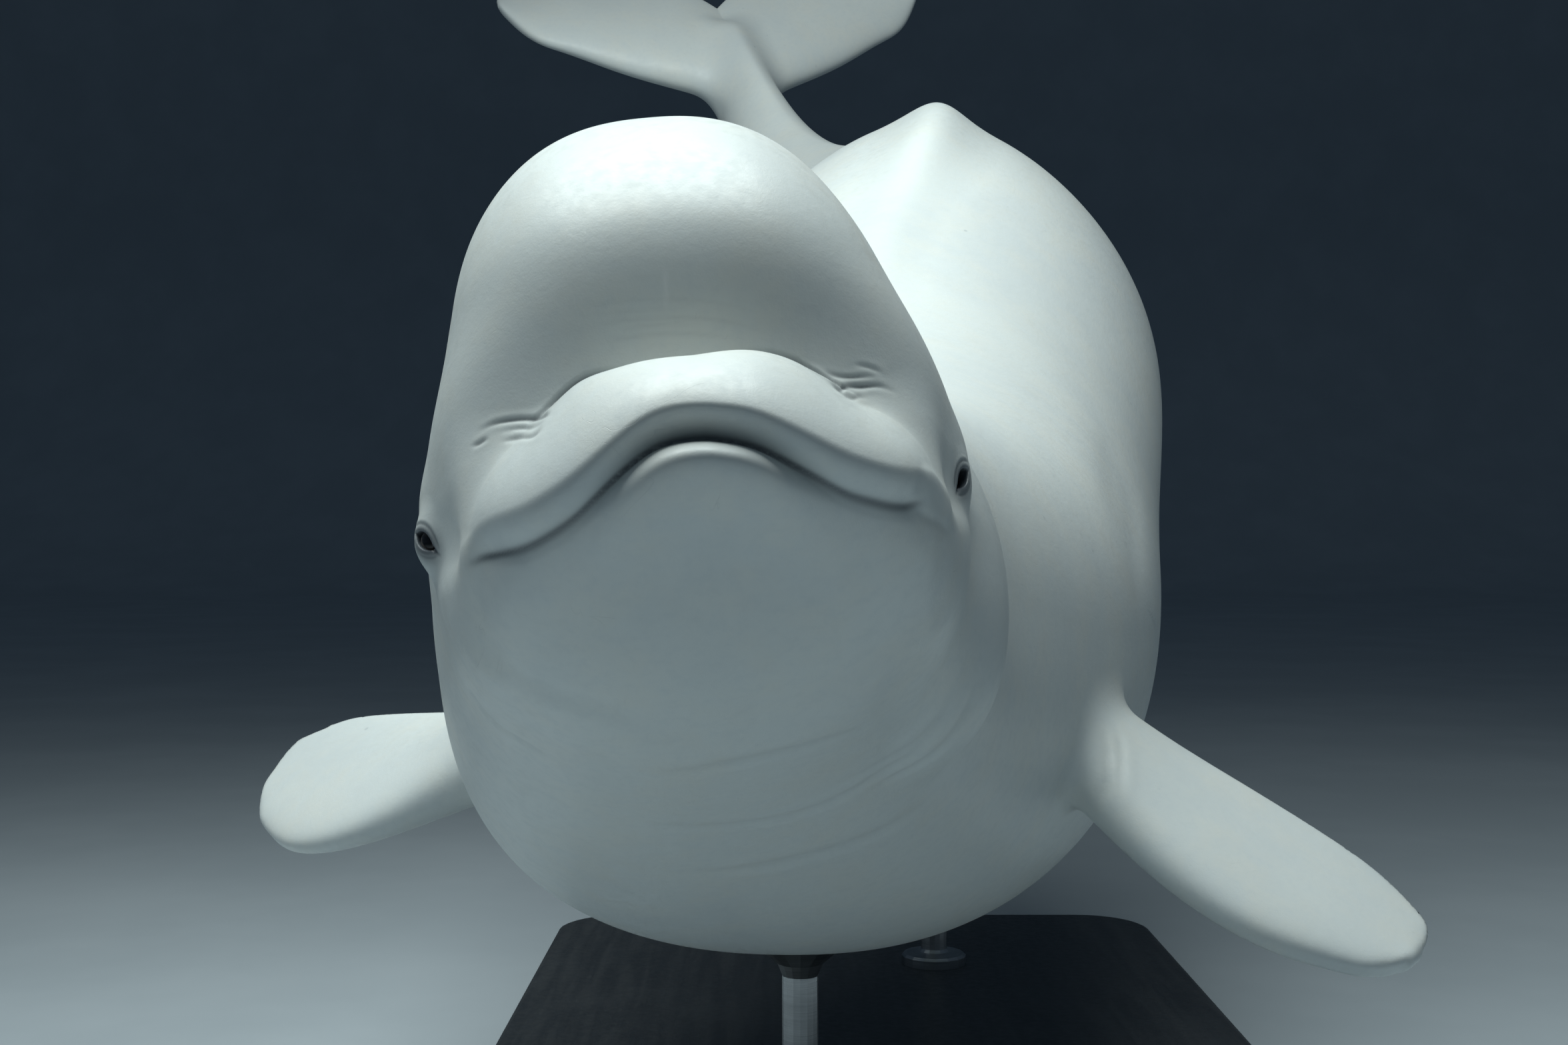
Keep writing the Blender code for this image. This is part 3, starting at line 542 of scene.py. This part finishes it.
def along(stops, p, reach, face_on=False):
    """The points near a smooth curve through some stops: which, how far off, and how far along, 0 to 1.

    With face_on, distances are those seen from in front of the snout."""
    stops = np.array(stops)
    t = np.concatenate([[0], np.cumsum(np.linalg.norm(np.diff(stops, axis=0), axis=1))])
    t = t / t[-1]
    fine = np.linspace(0, 1, 41)
    if face_on:
        f = (stops[:, 1].mean() - SPINE_S[0]) / (SPINE_S[1] - SPINE_S[0])
        i = int(f)
        look = unit(posed(stops.mean(0)[None])[0] - TO_WORLD)
        ahead = np.cross(SPINE_UP[i], SPINE_SIDE[i])
        look = np.array([SPINE_SIDE[i] @ look, ahead @ look, SPINE_UP[i] @ look])
        look = look if look[1] > 0 else look * np.array([1, -1, 1])
        middle = stops.mean(0)
        depth = (p - middle) @ look
        flat = p - depth[:, None] * look
        stops = stops - ((stops - middle) @ look)[:, None] * look
        near = np.abs(depth) < 0.06
    else:
        flat, near = p, np.ones(len(p), bool)
    c = np.stack([spline(t, stops[:, m], 401)(fine) if len(stops) > 2 else np.interp(fine, t, stops[:, m]) for m in range(3)], 1)
    near = np.flatnonzero(near & ((flat > c.min(0) - reach) & (flat < c.max(0) + reach)).all(1))
    q = flat[near]
    off, where = np.full(len(q), 9.0), np.zeros(len(q))
    for k in range(40):
        v = c[k + 1] - c[k]
        s = np.clip((q - c[k]) @ v / (v @ v), 0, 1)
        d = np.linalg.norm(q - c[k] - s[:, None] * v, axis=1)
        closer = d < off
        off, where = np.where(closer, d, off), np.where(closer, (k + s) / 40, where)
    return near, off, where


# small folds: stops, width, depth, strength of the shade painted along them, how much of the length each end takes to
# die out
WRINKLES = [
    # where the crease above the lip breaks up, on the animal's right
    ([(-.0980, .085, .0000), (-.1062, .0992, .0024), (-.1210, .1215, .0130), (-.1331, .1292, .0164), (-.1421, .1360, .0180), (-.1509, .1439, .0180), (-.1561, .1491, .0185)], .0017, .0015, .50, (.12, .40)),
    ([(-.1003, .0709, -.0122), (-.1113, .0903, -.0084), (-.1195, .1161, .0033), (-.1310, .1273, .0083), (-.1402, .1344, .0104)], .0014, .0009, .28, (.20, .45)),
    ([(-.1029, .0713, -.0151), (-.1089, .0739, -.0201), (-.1177, .0891, -.0156), (-.1292, .1178, -.0035), (-.1395, .1320, .0021)], .0015, .0012, .40, (.15, .40)),
    ([(-.1439, .1372, .0091), (-.1490, .1417, .0091), (-.1542, .1466, .0087), (-.1595, .1522, .0099)], .0015, .0011, .36, (.40, .45)),
    # and on its left
    ([(.0885, .1045, .0194), (.0996, .1091, .0144), (.1119, .1157, .0146), (.1248, .1226, .0170), (.1324, .1275, .0175)], .0015, .0010, .30, (.25, .40)),
    ([(.1134, .1150, .0243), (.1234, .1207, .0245), (.1308, .1256, .0235), (.1355, .1293, .0211), (.1375, .1312, .0170)], .0016, .0008, .10, (.40, .45)),
    ([(.0887, .0756, -.0029), (.0950, .0805, -.0068), (.1085, .1124, .0066), (.1173, .1192, .0083), (.1261, .1242, .0102), (.1337, .1291, .0112), (.1415, .1350, .0099), (.1496, .1415, .0083)], .0017, .0015, .50, (.12, .40)),
    ([(.0926, .0749, -.0081), (.0985, .0745, -.0154), (.1061, .0878, -.0140), (.1171, .1161, -.0014), (.1265, .1239, -.0001)], .0015, .0011, .38, (.18, .40)),
    # from the left corner of the mouth back across the cheek, and the short fold over it
    ([(.1354, .1080, -.0864), (.1439, .1204, -.0910), (.1555, .1403, -.0910), (.1669, .1652, -.0888), (.1795, .1995, -.0858)], .0042, .0007, .10, (.15, .50)),
    ([(.1444, .0977, -.0658), (.1449, .1066, -.0744), (.1416, .1117, -.0833)], .0036, .0006, .08, (.45, .35)),
    # faint arcs over the crease
    ([(-.0850, .0891, .0747), (-.0476, .0777, .0722), (-.0109, .0749, .0693), (.0248, .0779, .0636), (.0612, .0874, .0544)], .0015, .00012, .05, (.35, .35)),
    ([(-.0819, .0922, .0604), (-.0445, .0820, .0597), (-.0074, .0798, .0575), (.0331, .0841, .0506), (.0680, .0946, .0384)], .0015, .00018, .07, (.35, .35)),
    ([(-.0696, .0920, .0485), (-.0326, .0850, .0485), (.0043, .0847, .0458), (.0410, .0894, .0391)], .0016, .00022, .08, (.35, .35)),
    ([(-.0520, .0850, .0548), (-.0220, .0830, .0545), (.0120, .0840, .0525)], .0014, .00016, .06, (.40, .40)),
    ([(-.0640, .0840, .0668), (-.0300, .0790, .0650), (.0040, .0790, .0640)], .0014, .00014, .05, (.40, .40)),
]
# broad soft folds of throat, neck and flank
ROLLS = [
    ([(.2168, .3847, -.1206), (.2066, .3991, -.1491), (.1866, .4183, -.1756), (.1455, .4471, -.1948), (.0927, .4413, -.2118)], .0050, .0018, .10, (.30, .45)),
    ([(.1961, .3638, -.1277), (.1878, .3794, -.1492), (.1685, .3988, -.1726), (.1260, .4116, -.1921), (.0735, .3971, -.2083)], .0050, .0014, .08, (.30, .45)),
    ([(.1769, .3823, -.1588), (.1544, .4185, -.1851), (.1092, .4348, -.2047), (.0475, .4420, -.2208), (-.0187, .4385, -.2220), (-.0790, .4325, -.2134)], .0060, .0020, .10, (.30, .30)),
    ([(.1254, .3201, -.1776), (.0746, .2986, -.1958), (.0242, .2956, -.2027), (-.0274, .3067, -.2037), (-.0671, .3152, -.1996)], .0070, .0018, .12, (.35, .35)),
    ([(.1934, .5454, -.1859), (.1428, .5443, -.2209), (.0764, .5375, -.2397), (-.0014, .5439, -.2465), (-.0706, .5359, -.2402)], .0080, .0026, .10, (.35, .35)),
    ([(-.1934, .3031, -.1076), (-.1840, .3330, -.1275), (-.1563, .3346, -.1572), (-.1170, .3337, -.1834)], .0050, .0012, .05, (.40, .40)),
    ([(.3446, 1.5761, .1757), (.3540, 1.1438, .1457), (.3628, .9725, .0662)], .0340, .0024, .02, (.45, .45)),
    ([(.3682, 1.5091, .1389), (.3745, 1.1840, .1120), (.3831, 1.0624, .0384), (.3862, 1.0784, -.0457)], .0320, .0026, .02, (.45, .45)),
    ([(-.3446, 1.5761, .1757), (-.3540, 1.1438, .1457), (-.3628, .9725, .0662)], .0340, .0022, .02, (.45, .45)),
    ([(.3537, .8714, -.1023), (.3571, .8538, -.1311), (.3521, .8390, -.1659), (.3437, .8607, -.2035)], .0060, .0020, .10, (.35, .45)),
    ([(.3643, .8896, -.0979), (.3698, .8605, -.1309), (.3662, .8383, -.1658), (.3562, .8367, -.2045)], .0050, .0014, .07, (.35, .45)),
    ([(-.330, .900, -.020), (-.345, .880, -.070), (-.345, .872, -.120), (-.335, .880, -.160)], .0060, .0026, .12, (.35, .35)),
]
# swellings and dimples: centre, radius, height
LUMPS = [((-.0800, .0500, -.0650), .0075, .0022), ((-.0129, .0335, -.0766), .0085, -.0022), ((-.036, .040, -.079), .013, .0012),
         ((.014, .036, -.079), .013, .0012), ((.152, .140, -.100), .020, .0012)]


def relief(p):
    """Height of small forms along the normal, a mask of the shade painted into folds, slits and round the eye, and one
    of the pale marks.
    """
    x, y, z = p.T
    high, painted_shade_and_eye_tone, pale = np.zeros(len(p)), np.zeros(len(p)), np.zeros(len(p))
    head = np.flatnonzero(y < 0.75)
    hx, hy, hz = x[head], y[head], z[head]
    hax = np.abs(hx)
    melon, lip, jaw = face_parts(hx, hy, hz)
    # crease over the upper lip: a narrow deep fold that dies out at its ends, with painted shade in it
    live = (1 - ease(0.088, 0.122, hax)) * (1 - ease(0.12, 0.20, hy)) * (hz > -0.05)
    fold_and_painted_shade = bump(melon - lip, 0.0032) * live
    high[head] -= 0.0035 * fold_and_painted_shade
    painted_shade_and_eye_tone[head] += 0.55 * fold_and_painted_shade
    # mouth slit, with painted shade along it
    top = np.minimum(lip, melon)
    live = (1 - ease(0.140, 0.162, hax + 0.07 * hx)) * (hz < -0.02) * (hy < 0.2)
    slit = bump(top - jaw, 0.0030) * live * (np.abs(top) < 0.03)
    high[head] -= 0.0012 * slit
    painted_shade_and_eye_tone[head] += 0.8 * slit
    for folds, face_on in ((WRINKLES, True), (ROLLS, False)):
        for stops, width, depth, shade, ends in folds:
            near, off, where = along(stops, p, 4 * width, face_on)
            die = ease(0, ends[0], where) * (1 - ease(1 - ends[1], 1, where))
            high[near] += depth * die * ((0.14 if face_on else 0.28) * bump(off - 2.3 * width, 1.1 * width) - bump(off, width))
            # painted shade along each fold
            painted_shade_and_eye_tone[near] += shade * die * bump(off, 0.9 * width)
    for centre, radius, height in LUMPS:
        high += height * np.exp(-((p - np.array(centre))**2).sum(1) / radius**2)
    # a pale streak down the middle of the melon
    near, off, where = along([(-.0095, .0665, .0930), (-.0112, .0720, .0760), (-.0130, .0786, .0605)], p, 0.01, True)
    pale[near] += 0.55 * bump(off, 0.0016) * ease(0, 0.3, where) * (1 - ease(0.6, 1, where))
    # blowhole: a crescent slit on top of the head, a little to the left, its horns forward, with painted shade in the
    # slit
    bx, by = x - 0.012, y - 0.470
    arc = by - 0.010 + 9.0 * bx * bx
    open_ = (1 - ease(0.024, 0.034, np.abs(bx))) * (z > 0.1) * (np.abs(by) < 0.06)
    high += open_ * (0.0030 * bump(arc + 0.011, 0.008) + 0.0016 * bump(arc - 0.010, 0.007) - 0.0100 * bump(arc, 0.0042))
    painted_shade_and_eye_tone += 0.85 * open_ * bump(arc, 0.0034)
    # lids: a fold over and a fold under the opening, a groove running on from its front corner; painted shade lies in
    # the folds and the groove
    by_eye = np.flatnonzero((np.abs(np.abs(x - EYE_LEAN) - EYE[0]) < 0.05) & (np.abs(y - EYE[1]) < 0.06) & (np.abs(z - EYE[2]) < 0.05))
    o, b, u = eye_frame(x[by_eye], y[by_eye], z[by_eye])
    t = 1 - (b / 0.0225)**2
    live = ease(0, 0.45, t) * (o > -0.01)
    up, under = u - 0.0112 * t - 0.0012, u + 0.0096 * t + 0.0010
    high[by_eye] += live * (-0.0007 * bump(up, 0.0013) + 0.0003 * bump(up - 0.0028, 0.0018))
    high[by_eye] += live * -0.0005 * bump(under, 0.0012)
    painted_shade_and_eye_tone[by_eye] += live * (0.20 * bump(up, 0.0014) + 0.12 * bump(under, 0.0012))
    tail = np.clip((-b - 0.0135) / 0.0125, 0, 1)
    tear = bump(u + 0.0016 * tail, 0.0018 - 0.0006 * tail) * (b < -0.0128) * (1 - tail)**1.2 * (o > -0.02)
    high[by_eye] -= 0.0016 * tear
    painted_shade_and_eye_tone[by_eye] += 0.65 * tear
    # painted shade round the rim of the opening
    rim = np.maximum(np.abs(u) - np.where(u > 0, 0.0066, 0.0054) * (1 - (b / 0.0142)**2), np.abs(b) - 0.0160)
    painted_shade_and_eye_tone[by_eye] += 0.35 * np.exp(-np.maximum(rim, 0) / 0.0030) * (1 - ease(0.0165, 0.0190, np.abs(b)))
    # a dark patch round the eye: the skin's own darker tone, deepened with painted shade
    painted_shade_and_eye_tone[by_eye] += 0.85 * np.exp(-(((b + 0.003) / 0.0205)**2 + (u / 0.0140)**2)**1.3) * (o > -0.02)
    return high, np.clip(painted_shade_and_eye_tone, 0, 1), pale


# ---------------------------------------------------------------- build the skin
xs = mirrored(ruler((0, .170, .0020), (.170, .222, .0014), (.222, .30, .0045), (.30, .76, .0046)))
ys = ruler((-.03, .015, .004), (.015, .232, .0020), (.232, .292, .0014), (.292, .46, .0036), (.46, .80, .008), (.80, 1.12, .0040), (1.12, 1.40, .009), (1.40, 3.45, .013), (3.45, 4.02, .007))
zs = ruler((-.47, -.20, .0043), (-.20, -.12, .0036), (-.12, -.05, .0016), (-.05, .032, .0012), (.032, .10, .0030), (.10, .42, .007))
xs = xs[:len(xs) - (len(xs) - 1) % 8]

pool = ThreadPoolExecutor(4)
points, quads = surface(xs, ys, zs, pool)
points, _ = settle(points, pool, 2, 0.006)
for _ in range(2):
    points = relax(points, quads, 0.5)
    points, normal = settle(points, pool, 2, 0.004)
high, painted_shade_and_eye_tone, pale = relief(points)
skin_points = points + normal * high[:, None]
world = posed(skin_points)
pool.shutdown()


def mesh_from(name, verts, faces):
    """Mesh from arrays; every face has as many corners as the array is wide."""
    me = bpy.data.meshes.new(name)
    me.vertices.add(len(verts))
    me.vertices.foreach_set("co", np.asarray(verts, np.float32).ravel())
    k = faces.shape[1]
    me.loops.add(faces.size)
    me.loops.foreach_set("vertex_index", faces.astype(np.int32).ravel())
    me.polygons.add(len(faces))
    me.polygons.foreach_set("loop_start", np.arange(len(faces), dtype=np.int32) * k)
    me.update(calc_edges=True)
    me.shade_smooth()
    return me


def add(name, me, mat=None):
    ob = bpy.data.objects.new(name, me)
    bpy.context.scene.collection.objects.link(ob)
    if mat:
        me.materials.append(mat)
    return ob


skin_mesh = mesh_from("skin", world, quads)
rest = skin_mesh.attributes.new("rest", "FLOAT_VECTOR", "POINT")
rest.data.foreach_set("vector", points.astype(np.float32).ravel())
# masks kept on the skin: painted shade in folds, slits and round the eye, and the pale marks
for mask, values in (("fold_and_painted_shade", painted_shade_and_eye_tone), ("pale", pale)):
    skin_mesh.attributes.new(mask, "FLOAT", "POINT").data.foreach_set("value", values.astype(np.float32))


def eyeball(name, side, mat):
    """A globe whose clear front bulges a little. Each point keeps its own direction for the iris."""
    bm = bmesh.new()
    bmesh.ops.create_icosphere(bm, subdivisions=6, radius=1.0)
    bm.verts.ensure_lookup_table()
    d = np.array([v.co for v in bm.verts], float)
    d /= np.linalg.norm(d, axis=1, keepdims=True)
    angle = np.arccos(np.clip(d[:, 0], -1, 1))
    r = EYE_RADIUS * (0.965 + 0.050 * (1 - ease(0.42, 0.74, angle)))
    at = EYE + r[:, None] * (d[:, :1] * EYE_OUT + d[:, 1:2] * EYE_LINE + d[:, 2:] * EYE_OVER)
    at[:, 0] = at[:, 0] * side + EYE_LEAN
    for v, c in zip(bm.verts, posed(at)):
        v.co = c
    if side > 0:
        bmesh.ops.reverse_faces(bm, faces=bm.faces[:])
    me = bpy.data.meshes.new(name)
    bm.to_mesh(me)
    bm.free()
    me.shade_smooth()
    me.attributes.new("gaze", "FLOAT_VECTOR", "POINT").data.foreach_set("vector", d.astype(np.float32).ravel())
    return add(name, me, mat)


# ---------------------------------------------------------------- materials


class Shader:
    """A node material, its nodes made and joined in one call each."""

    def __init__(self, name):
        self.mat = bpy.data.materials.new(name)
        self.mat.use_nodes = True
        self.nodes, self.links = self.mat.node_tree.nodes, self.mat.node_tree.links
        self.main = self.nodes["Principled BSDF"]

    def put(self, node, values):
        for key, v in values.items():
            if isinstance(v, bpy.types.NodeSocket):
                self.links.new(v, node.inputs[key])
            else:
                node.inputs[key].default_value = v
        return node

    def make(self, kind, values=None, **settings):
        node = self.nodes.new("ShaderNode" + kind)
        for key, v in settings.items():
            setattr(node, key, v)
        return self.put(node, values or {})

    def mask(self, name):
        return self.make("Attribute", attribute_name=name).outputs["Fac"]

    def place(self, name):
        return self.make("Attribute", attribute_name=name).outputs["Vector"]

    def stretch(self, vector, scale, turn=(0, 0, 0)):
        return self.make("Mapping", {"Vector": vector, "Scale": scale, "Rotation": turn}).outputs["Vector"]

    def noise(self, vector, scale, detail=3.0, rough=0.5, distortion=0.0):
        return self.make("TexNoise", {"Vector": vector, "Scale": scale, "Detail": detail, "Roughness": rough, "Distortion": distortion}).outputs["Fac"]

    def span(self, value, a, b, c=0.0, d=1.0, smooth=True):
        """The value carried from a..b to c..d, held at the ends."""
        return self.make("MapRange", {"Value": value, "From Min": a, "From Max": b, "To Min": c, "To Max": d}, interpolation_type="SMOOTHSTEP" if smooth else "LINEAR").outputs["Result"]

    def math(self, op, *values):
        node = self.make("Math", operation=op)
        for n, v in enumerate(values):
            self.put(node, {n: v})
        return node.outputs[0]

    def mix(self, factor, a, b):
        return self.make("Mix", {"Factor": factor, "A": a, "B": b}, data_type="RGBA").outputs["Result"]

    def line(self, value, middle, width):
        """A thin line where the value passes the middle."""
        return self.span(self.math("ABSOLUTE", self.math("SUBTRACT", value, middle)), 0.0, width, 1.0, 0.0)

    def bump(self, height, distance, strength=1.0, over=None):
        node = self.make("Bump", {"Height": height, "Distance": distance, "Strength": strength})
        if over is not None:
            self.links.new(over, node.inputs["Normal"])
        return node.outputs["Normal"]


m = Shader("whale_skin")
rest_at = m.place("rest")
broad, patchy, fine = m.noise(rest_at, 2.6, 5, 0.6), m.noise(rest_at, 15, 6, 0.62), m.noise(rest_at, 90, 5, 0.6)
pores = m.noise(rest_at, 620, 3, 0.6)
# old scratches, long ones down the body and short ones across it
down = m.noise(m.stretch(rest_at, (1.0, 0.16, 0.8), (0.25, 0.0, 0.35)), 17, 2.5, 0.5, 1.2)
across = m.noise(m.stretch(rest_at, (0.35, 1.0, 0.7), (0.0, 0.5, -0.4)), 23, 2.0, 0.5, 0.8)
scratch = m.math("MULTIPLY", m.math("MAXIMUM", m.line(down, 0.47, 0.0020), m.line(across, 0.56, 0.0024)), m.span(patchy, 0.55, 0.68))
spots = m.make("TexVoronoi", {"Vector": rest_at, "Scale": 16.0, "Randomness": 1.0}, feature="F1").outputs["Distance"]
spots = m.math("MULTIPLY", m.span(spots, 0.030, 0.060, 1.0, 0.0), m.span(broad, 0.50, 0.62))
# skin lines, finely crossed
lines = m.noise(m.stretch(rest_at, (1.0, 0.30, 1.0), (0.0, 0.0, 0.15)), 130, 4, 0.6, 0.6)
colour = m.mix(m.span(broad, 0.36, 0.68, 0.0, 0.75), (0.800, 0.835, 0.815, 1), (0.700, 0.745, 0.750, 1))
colour = m.mix(m.span(patchy, 0.40, 0.72, 0.0, 0.42), colour, (0.835, 0.825, 0.755, 1))
colour = m.mix(m.span(fine, 0.42, 0.75, 0.0, 0.22), colour, (0.640, 0.690, 0.710, 1))
colour = m.mix(m.math("MULTIPLY", scratch, 0.14), colour, (0.480, 0.540, 0.570, 1))
colour = m.mix(m.math("MULTIPLY", spots, 0.35), colour, (0.330, 0.370, 0.390, 1))
colour = m.mix(m.mask("pale"), colour, (0.930, 0.940, 0.920, 1))
# painted shade in the folds, the mouth slit and the blowhole, and the skin's darker tone round the eye deepened with
# painted shade
colour = m.mix(m.mask("fold_and_painted_shade"), colour, (0.085, 0.100, 0.120, 1))
normal_ = m.bump(pores, 0.00030, 0.3)
normal_ = m.bump(lines, 0.0006, 0.25, normal_)
normal_ = m.bump(patchy, 0.0025, 0.22, normal_)
normal_ = m.bump(m.math("SUBTRACT", 1.0, scratch), 0.0004, 0.4, normal_)
m.put(m.main, {"Base Color": colour, "Roughness": m.span(fine, 0.3, 0.7, 0.40, 0.56), "Normal": normal_, "Subsurface Weight": 0.06,
               "Subsurface Radius": (1.0, 0.9, 0.8), "Subsurface Scale": 0.004, "Coat Weight": 0.10, "Coat Roughness": 0.30})
skin_mat = m.mat

# the eye: a brown iris about a pupil wider than it is high, darker round the edge, under a wet clear front
m = Shader("whale_eye")
gaze = m.make("SeparateXYZ", {"Vector": m.place("gaze")})
wide, tall = gaze.outputs["Y"], gaze.outputs["Z"]
out_ = m.math("SQRT", m.math("ADD", m.math("MULTIPLY", wide, wide), m.math("MULTIPLY", tall, tall)))
w2, t2 = m.math("DIVIDE", wide, 0.33), m.math("DIVIDE", tall, 0.23)
pupil = m.math("SQRT", m.math("ADD", m.math("MULTIPLY", w2, w2), m.math("MULTIPLY", t2, t2)))
turn = m.math("ARCTAN2", tall, wide)
spokes = m.noise(m.make("CombineXYZ", {"X": m.math("MULTIPLY", turn, 9.0), "Y": m.math("MULTIPLY", out_, 3.0)}).outputs[0], 2.2, 4, 0.6)
veins = m.noise(m.place("gaze"), 7.0, 4, 0.6, 1.5)
colour = m.mix(m.span(spokes, 0.32, 0.70), (0.010, 0.006, 0.004, 1), (0.046, 0.026, 0.014, 1))
colour = m.mix(m.span(out_, 0.46, 0.58), colour, (0.012, 0.008, 0.006, 1))
white = m.mix(m.line(veins, 0.5, 0.03), (0.060, 0.048, 0.042, 1), (0.055, 0.024, 0.020, 1))
colour = m.mix(m.span(out_, 0.60, 0.68), colour, white)
colour = m.mix(m.span(pupil, 0.92, 1.06, 1.0, 0.0), colour, (0.0015, 0.0015, 0.002, 1))
m.put(m.main, {"Base Color": colour, "Roughness": m.span(veins, 0.3, 0.7, 0.16, 0.24), "IOR": 1.376, "Coat Weight": 1.0, "Coat Roughness": 0.03,
               "Normal": m.bump(spokes, 0.0002, 0.3)})
eye_mat = m.mat

# dark satin paint over a wooden base: grain shows faintly, edges and corners are rubbed
m = Shader("base_paint")
here = m.make("TexCoord").outputs["Object"]
grain = m.noise(m.stretch(here, (14.0, 0.9, 14.0)), 3.0, 7, 0.62, 0.5)
cloud = m.noise(here, 3.5, 5, 0.6)
dust = m.noise(here, 70, 4, 0.7)
colour = m.mix(m.span(grain, 0.35, 0.70, 0.0, 0.8), (0.036, 0.041, 0.047, 1), (0.062, 0.067, 0.072, 1))
colour = m.mix(m.span(cloud, 0.45, 0.75, 0.0, 0.35), colour, (0.080, 0.086, 0.092, 1))
edge = m.make("NewGeometry").outputs["Pointiness"]
colour = m.mix(m.math("MULTIPLY", m.span(edge, 0.52, 0.60), m.span(dust, 0.45, 0.6)), colour, (0.170, 0.150, 0.125, 1))
m.put(m.main, {"Base Color": colour, "Roughness": m.span(dust, 0.3, 0.7, 0.34, 0.50), "Normal": m.bump(grain, 0.0006, 0.5, m.bump(dust, 0.0003, 0.3)),
               "Coat Weight": 0.25, "Coat Roughness": 0.25})
base_mat = m.mat

# brushed steel rods, the brushing running round them
m = Shader("rod_steel")
here = m.make("TexCoord").outputs["Object"]
brushed = m.noise(m.stretch(here, (1.0, 1.0, 60.0)), 14.0, 6, 0.7)
smear = m.noise(here, 9.0, 4, 0.55)
colour = m.mix(m.span(brushed, 0.30, 0.70), (0.440, 0.455, 0.470, 1), (0.640, 0.650, 0.660, 1))
colour = m.mix(m.span(smear, 0.50, 0.80, 0.0, 0.4), colour, (0.380, 0.380, 0.375, 1))
m.put(m.main, {"Base Color": colour, "Metallic": 1.0, "Roughness": m.span(smear, 0.3, 0.7, 0.26, 0.42), "Normal": m.bump(brushed, 0.0003, 0.5)})
rod_mat = m.mat

skin = add("skin", skin_mesh, skin_mat)
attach(skin, "root")
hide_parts("melon", "head", "upper_lip", "lower_jaw", "neck", "chest", "trunk_front", "trunk_rear",
            "tail_stock", "fluke_left", "fluke_right", "flipper_left", "flipper_right")
for side, which in ((1, "left"), (-1, "right")):
    eye = eyeball("eyeball_" + which, side, eye_mat)
    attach(eye, "root")
    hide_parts("eye_" + which)
for name, mat in (("stand_base", base_mat), ("stand_rod_front", rod_mat), ("stand_rod_rear", rod_mat)):
    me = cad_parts[name].data
    me.materials.clear()
    me.materials.append(mat)

# ---------------------------------------------------------------- floor, light and camera
m = Shader("studio_floor")
here = m.make("TexCoord").outputs["Object"]
faint = m.noise(here, 1.4, 4, 0.6)
m.put(m.main, {"Base Color": m.mix(m.span(faint, 0.35, 0.7), (0.47, 0.525, 0.565, 1), (0.51, 0.565, 0.605, 1)), "Roughness": 0.85,
               "Normal": m.bump(m.noise(here, 300, 3, 0.6), 0.0004, 0.4)})
floor_mat = m.mat
# floor and backdrop in one sweep
rows = []
for t in np.linspace(0, 1, 25):
    a = t * math.pi / 2
    rows.append((17.0 + 5.0 * math.sin(a), 5.0 * (1 - math.cos(a))))
profile = [(-22.0, 0.0)] + rows + [(22.0, 24.0)]
verts, faces = [], []
for n, (yy, zz) in enumerate(profile):
    for xx in (-26.0, 26.0):
        verts.append((xx, yy, zz))
    if n:
        faces.append((2 * n - 2, 2 * n - 1, 2 * n + 1, 2 * n))
floor = add("studio_sweep", mesh_from("studio_sweep", np.array(verts), np.array(faces)), floor_mat)

scene = bpy.context.scene
cam = bpy.data.cameras.new("photo_camera")
cam.sensor_width, cam.lens = 36.0, 2800.0 / 2352.0 * 36.0
cam.clip_start, cam.clip_end = 0.05, 60
cam_ob = bpy.data.objects.new("photo_camera", cam)
cam_ob.location = TO_WORLD
cam_ob.rotation_euler = (math.pi / 2, 0, 0)
scene.collection.objects.link(cam_ob)
scene.camera = cam_ob


def area(name, where, aim, size, energy, colour=(1, 1, 1)):
    light = bpy.data.lights.new(name, "AREA")
    light.shape, light.size, light.size_y = "RECTANGLE", size[0], size[1]
    light.energy, light.color = energy, colour
    ob = bpy.data.objects.new(name, light)
    ob.location = where
    ob.rotation_euler = (Vector(aim) - Vector(where)).to_track_quat("-Z", "Y").to_euler()
    scene.collection.objects.link(ob)
    return ob


area("top_light", (-0.50, -1.05, 3.15), (-0.05, -1.00, 0.8), (1.8, 2.7), 98, (0.90, 1.0, 0.985))
world_ = bpy.data.worlds.new("studio")
world_.use_nodes = True
world_.node_tree.nodes["Background"].inputs["Color"].default_value = (0.42, 0.60, 0.80, 1)
world_.node_tree.nodes["Background"].inputs["Strength"].default_value = 0.07
scene.world = world_
scene.view_settings.view_transform = "Standard"
